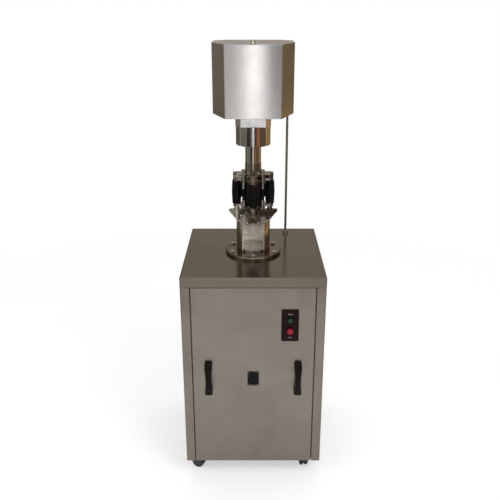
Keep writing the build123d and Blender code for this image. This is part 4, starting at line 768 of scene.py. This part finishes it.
def card(name, band, start, end, color):
    """A curved card round the machine that only reflections see.

    Its height band is in metres. Azimuth 0 faces the camera, 90 is +X."""
    mat = bpy.data.materials.new(name)
    mat.use_nodes = True
    tree = mat.node_tree
    tree.nodes.clear()
    glow = tree.nodes.new("ShaderNodeEmission")
    out = tree.nodes.new("ShaderNodeOutputMaterial")
    put(glow, {"Color": (*color, 1)})
    link(tree, glow.outputs[0], out.inputs["Surface"])
    points = []
    for i in range(CARD_FACETS + 1):
        a = radians(start + (end - start) * i / CARD_FACETS)
        points += [(CARD_REACH * sin(a), AXIS_Y - CARD_REACH * cos(a), z) for z in band]
    faces = [(2 * i, 2 * i + 2, 2 * i + 3, 2 * i + 1) for i in range(CARD_FACETS)]
    obj = stage_mesh(name, points, faces, mat)
    for flag in UNSEEN:
        setattr(obj, flag, False)


# Height bands of the cards, each named after what mirrors it, and the cards in them
NEST, HEAD, COLLAR, HOOD = (0.002, 0.44), (0.44, 0.80), (0.80, 1.20), (1.20, 3.4)
CARDS = [
    ("card_nest_left", NEST, -180, -62, (0.080, 0.070, 0.052)),
    ("card_nest_olive", NEST, -62, -34, (0.36, 0.34, 0.26)),
    ("card_nest_dark", NEST, 30, 48, (0.10, 0.08, 0.05)),
    ("card_nest_gold", NEST, 48, 130, (0.38, 0.235, 0.11)),
    ("card_nest_right", NEST, 130, 180, (0.12, 0.085, 0.05)),
    ("card_head_left", HEAD, -180, -96, (0.16, 0.15, 0.115)),
    ("card_head_olive", HEAD, -94, -42, (0.40, 0.385, 0.30)),
    ("card_head_black", HEAD, -42, -14, (0.04, 0.038, 0.034)),
    ("card_head_dark", HEAD, 9, 24, (0.06, 0.045, 0.036)),
    ("card_head_rust", HEAD, 24, 36, (0.30, 0.15, 0.085)),
    ("card_head_brown", HEAD, 36, 110, (0.13, 0.085, 0.068)),
    ("card_head_gold", HEAD, 112, 180, (0.26, 0.175, 0.085)),
    ("card_left_edge", COLLAR, -180, -96, (0.115, 0.108, 0.075)),
    ("card_left_green", COLLAR, -94, -42, (0.17, 0.17, 0.14)),
    ("card_left_black", COLLAR, -42, -20, (0.03, 0.028, 0.026)),
    ("card_left_grey", COLLAR, -20, -7, (0.12, 0.108, 0.095)),
    ("card_right_dark", COLLAR, 7, 22, (0.055, 0.042, 0.034)),
    ("card_right_rust", COLLAR, 22, 44, (0.31, 0.135, 0.070)),
    ("card_right_brown", COLLAR, 44, 92, (0.12, 0.080, 0.050)),
    ("card_right_gold", COLLAR, 94, 180, (0.34, 0.21, 0.085)),
    ("card_high_left", HOOD, -80, -1.6, (0.55, 0.538, 0.535)),
    ("card_high_right", HOOD, 1.9, 80, (0.265, 0.257, 0.257)),
    ("card_high_olive", HOOD, -160, -82, (0.175, 0.147, 0.117)),
    ("card_high_brown", HOOD, 82, 160, (0.185, 0.135, 0.078)),
    ("card_high_back", HOOD, 160, 200, (0.40, 0.362, 0.32)),
]
for row in CARDS:
    card(*row)


# World, lamps and camera

def white_world():
    """Plain white where it is seen or mirrored, a little dimmer where it lights the machine."""
    world = bpy.data.worlds.new("world")
    bpy.context.scene.world = world
    world.use_nodes = True
    tree = world.node_tree
    sky = tree.nodes["Background"]
    put(sky, {"Color": WHITE, "Strength": 0.80})
    shown = tree.nodes.new("ShaderNodeBackground")
    put(shown, {"Color": WHITE, "Strength": 1.0})
    rays = tree.nodes.new("ShaderNodeLightPath").outputs
    seen = maths(tree, "MAXIMUM", rays["Is Camera Ray"], rays["Is Glossy Ray"])
    seen = maths(tree, "MAXIMUM", seen, rays["Is Transmission Ray"])
    blend_shaders(tree, seen, sky.outputs[0], shown.outputs[0], "World Output")


def lamp(name, place, target, size, power, color=(1, 1, 1)):
    """A rectangular lamp aimed at a target."""
    data = bpy.data.lights.new(name, "AREA")
    data.shape = "RECTANGLE"
    data.size, data.size_y = size
    data.energy = power
    data.color = color
    obj = bpy.data.objects.new(name, data)
    obj.location = place
    obj.rotation_euler = (Vector(target) - Vector(place)).to_track_quat("-Z", "Y").to_euler()
    bpy.context.scene.collection.objects.link(obj)
    return obj


white_world()
lamp("key", (1.7, -2.3, 3.3), (0, 0, 1.0), (1.4, 1.4), 60, (1.0, 0.985, 0.96))
lamp("fill", (-2.2, -1.9, 2.4), (0, 0, 0.9), (1.6, 1.6), 20, (0.97, 0.985, 1.0))
top = lamp("top", (0.0, 0.6, 3.6), (0, 0, 1.0), (1.8, 1.8), 30)
top.visible_glossy = False  # mirrored in the hood's roof, it would burn out in views from above
lamp("strip", (0.012, -3.2, 1.35), (0, 0, 1.4), (0.10, 1.1), 0.9)

camera_data = bpy.data.cameras.new("camera")
camera_data.lens = 45.2
camera_data.sensor_width = 36
camera_data.shift_x = -0.0064
camera_data.shift_y = -0.036
camera = bpy.data.objects.new("camera", camera_data)
camera.location = (0, -2.396, 1.851)
camera.rotation_euler = (radians(70.13), 0, 0)
bpy.context.scene.collection.objects.link(camera)
bpy.context.scene.camera = camera
bpy.context.scene.view_settings.view_transform = "Standard"
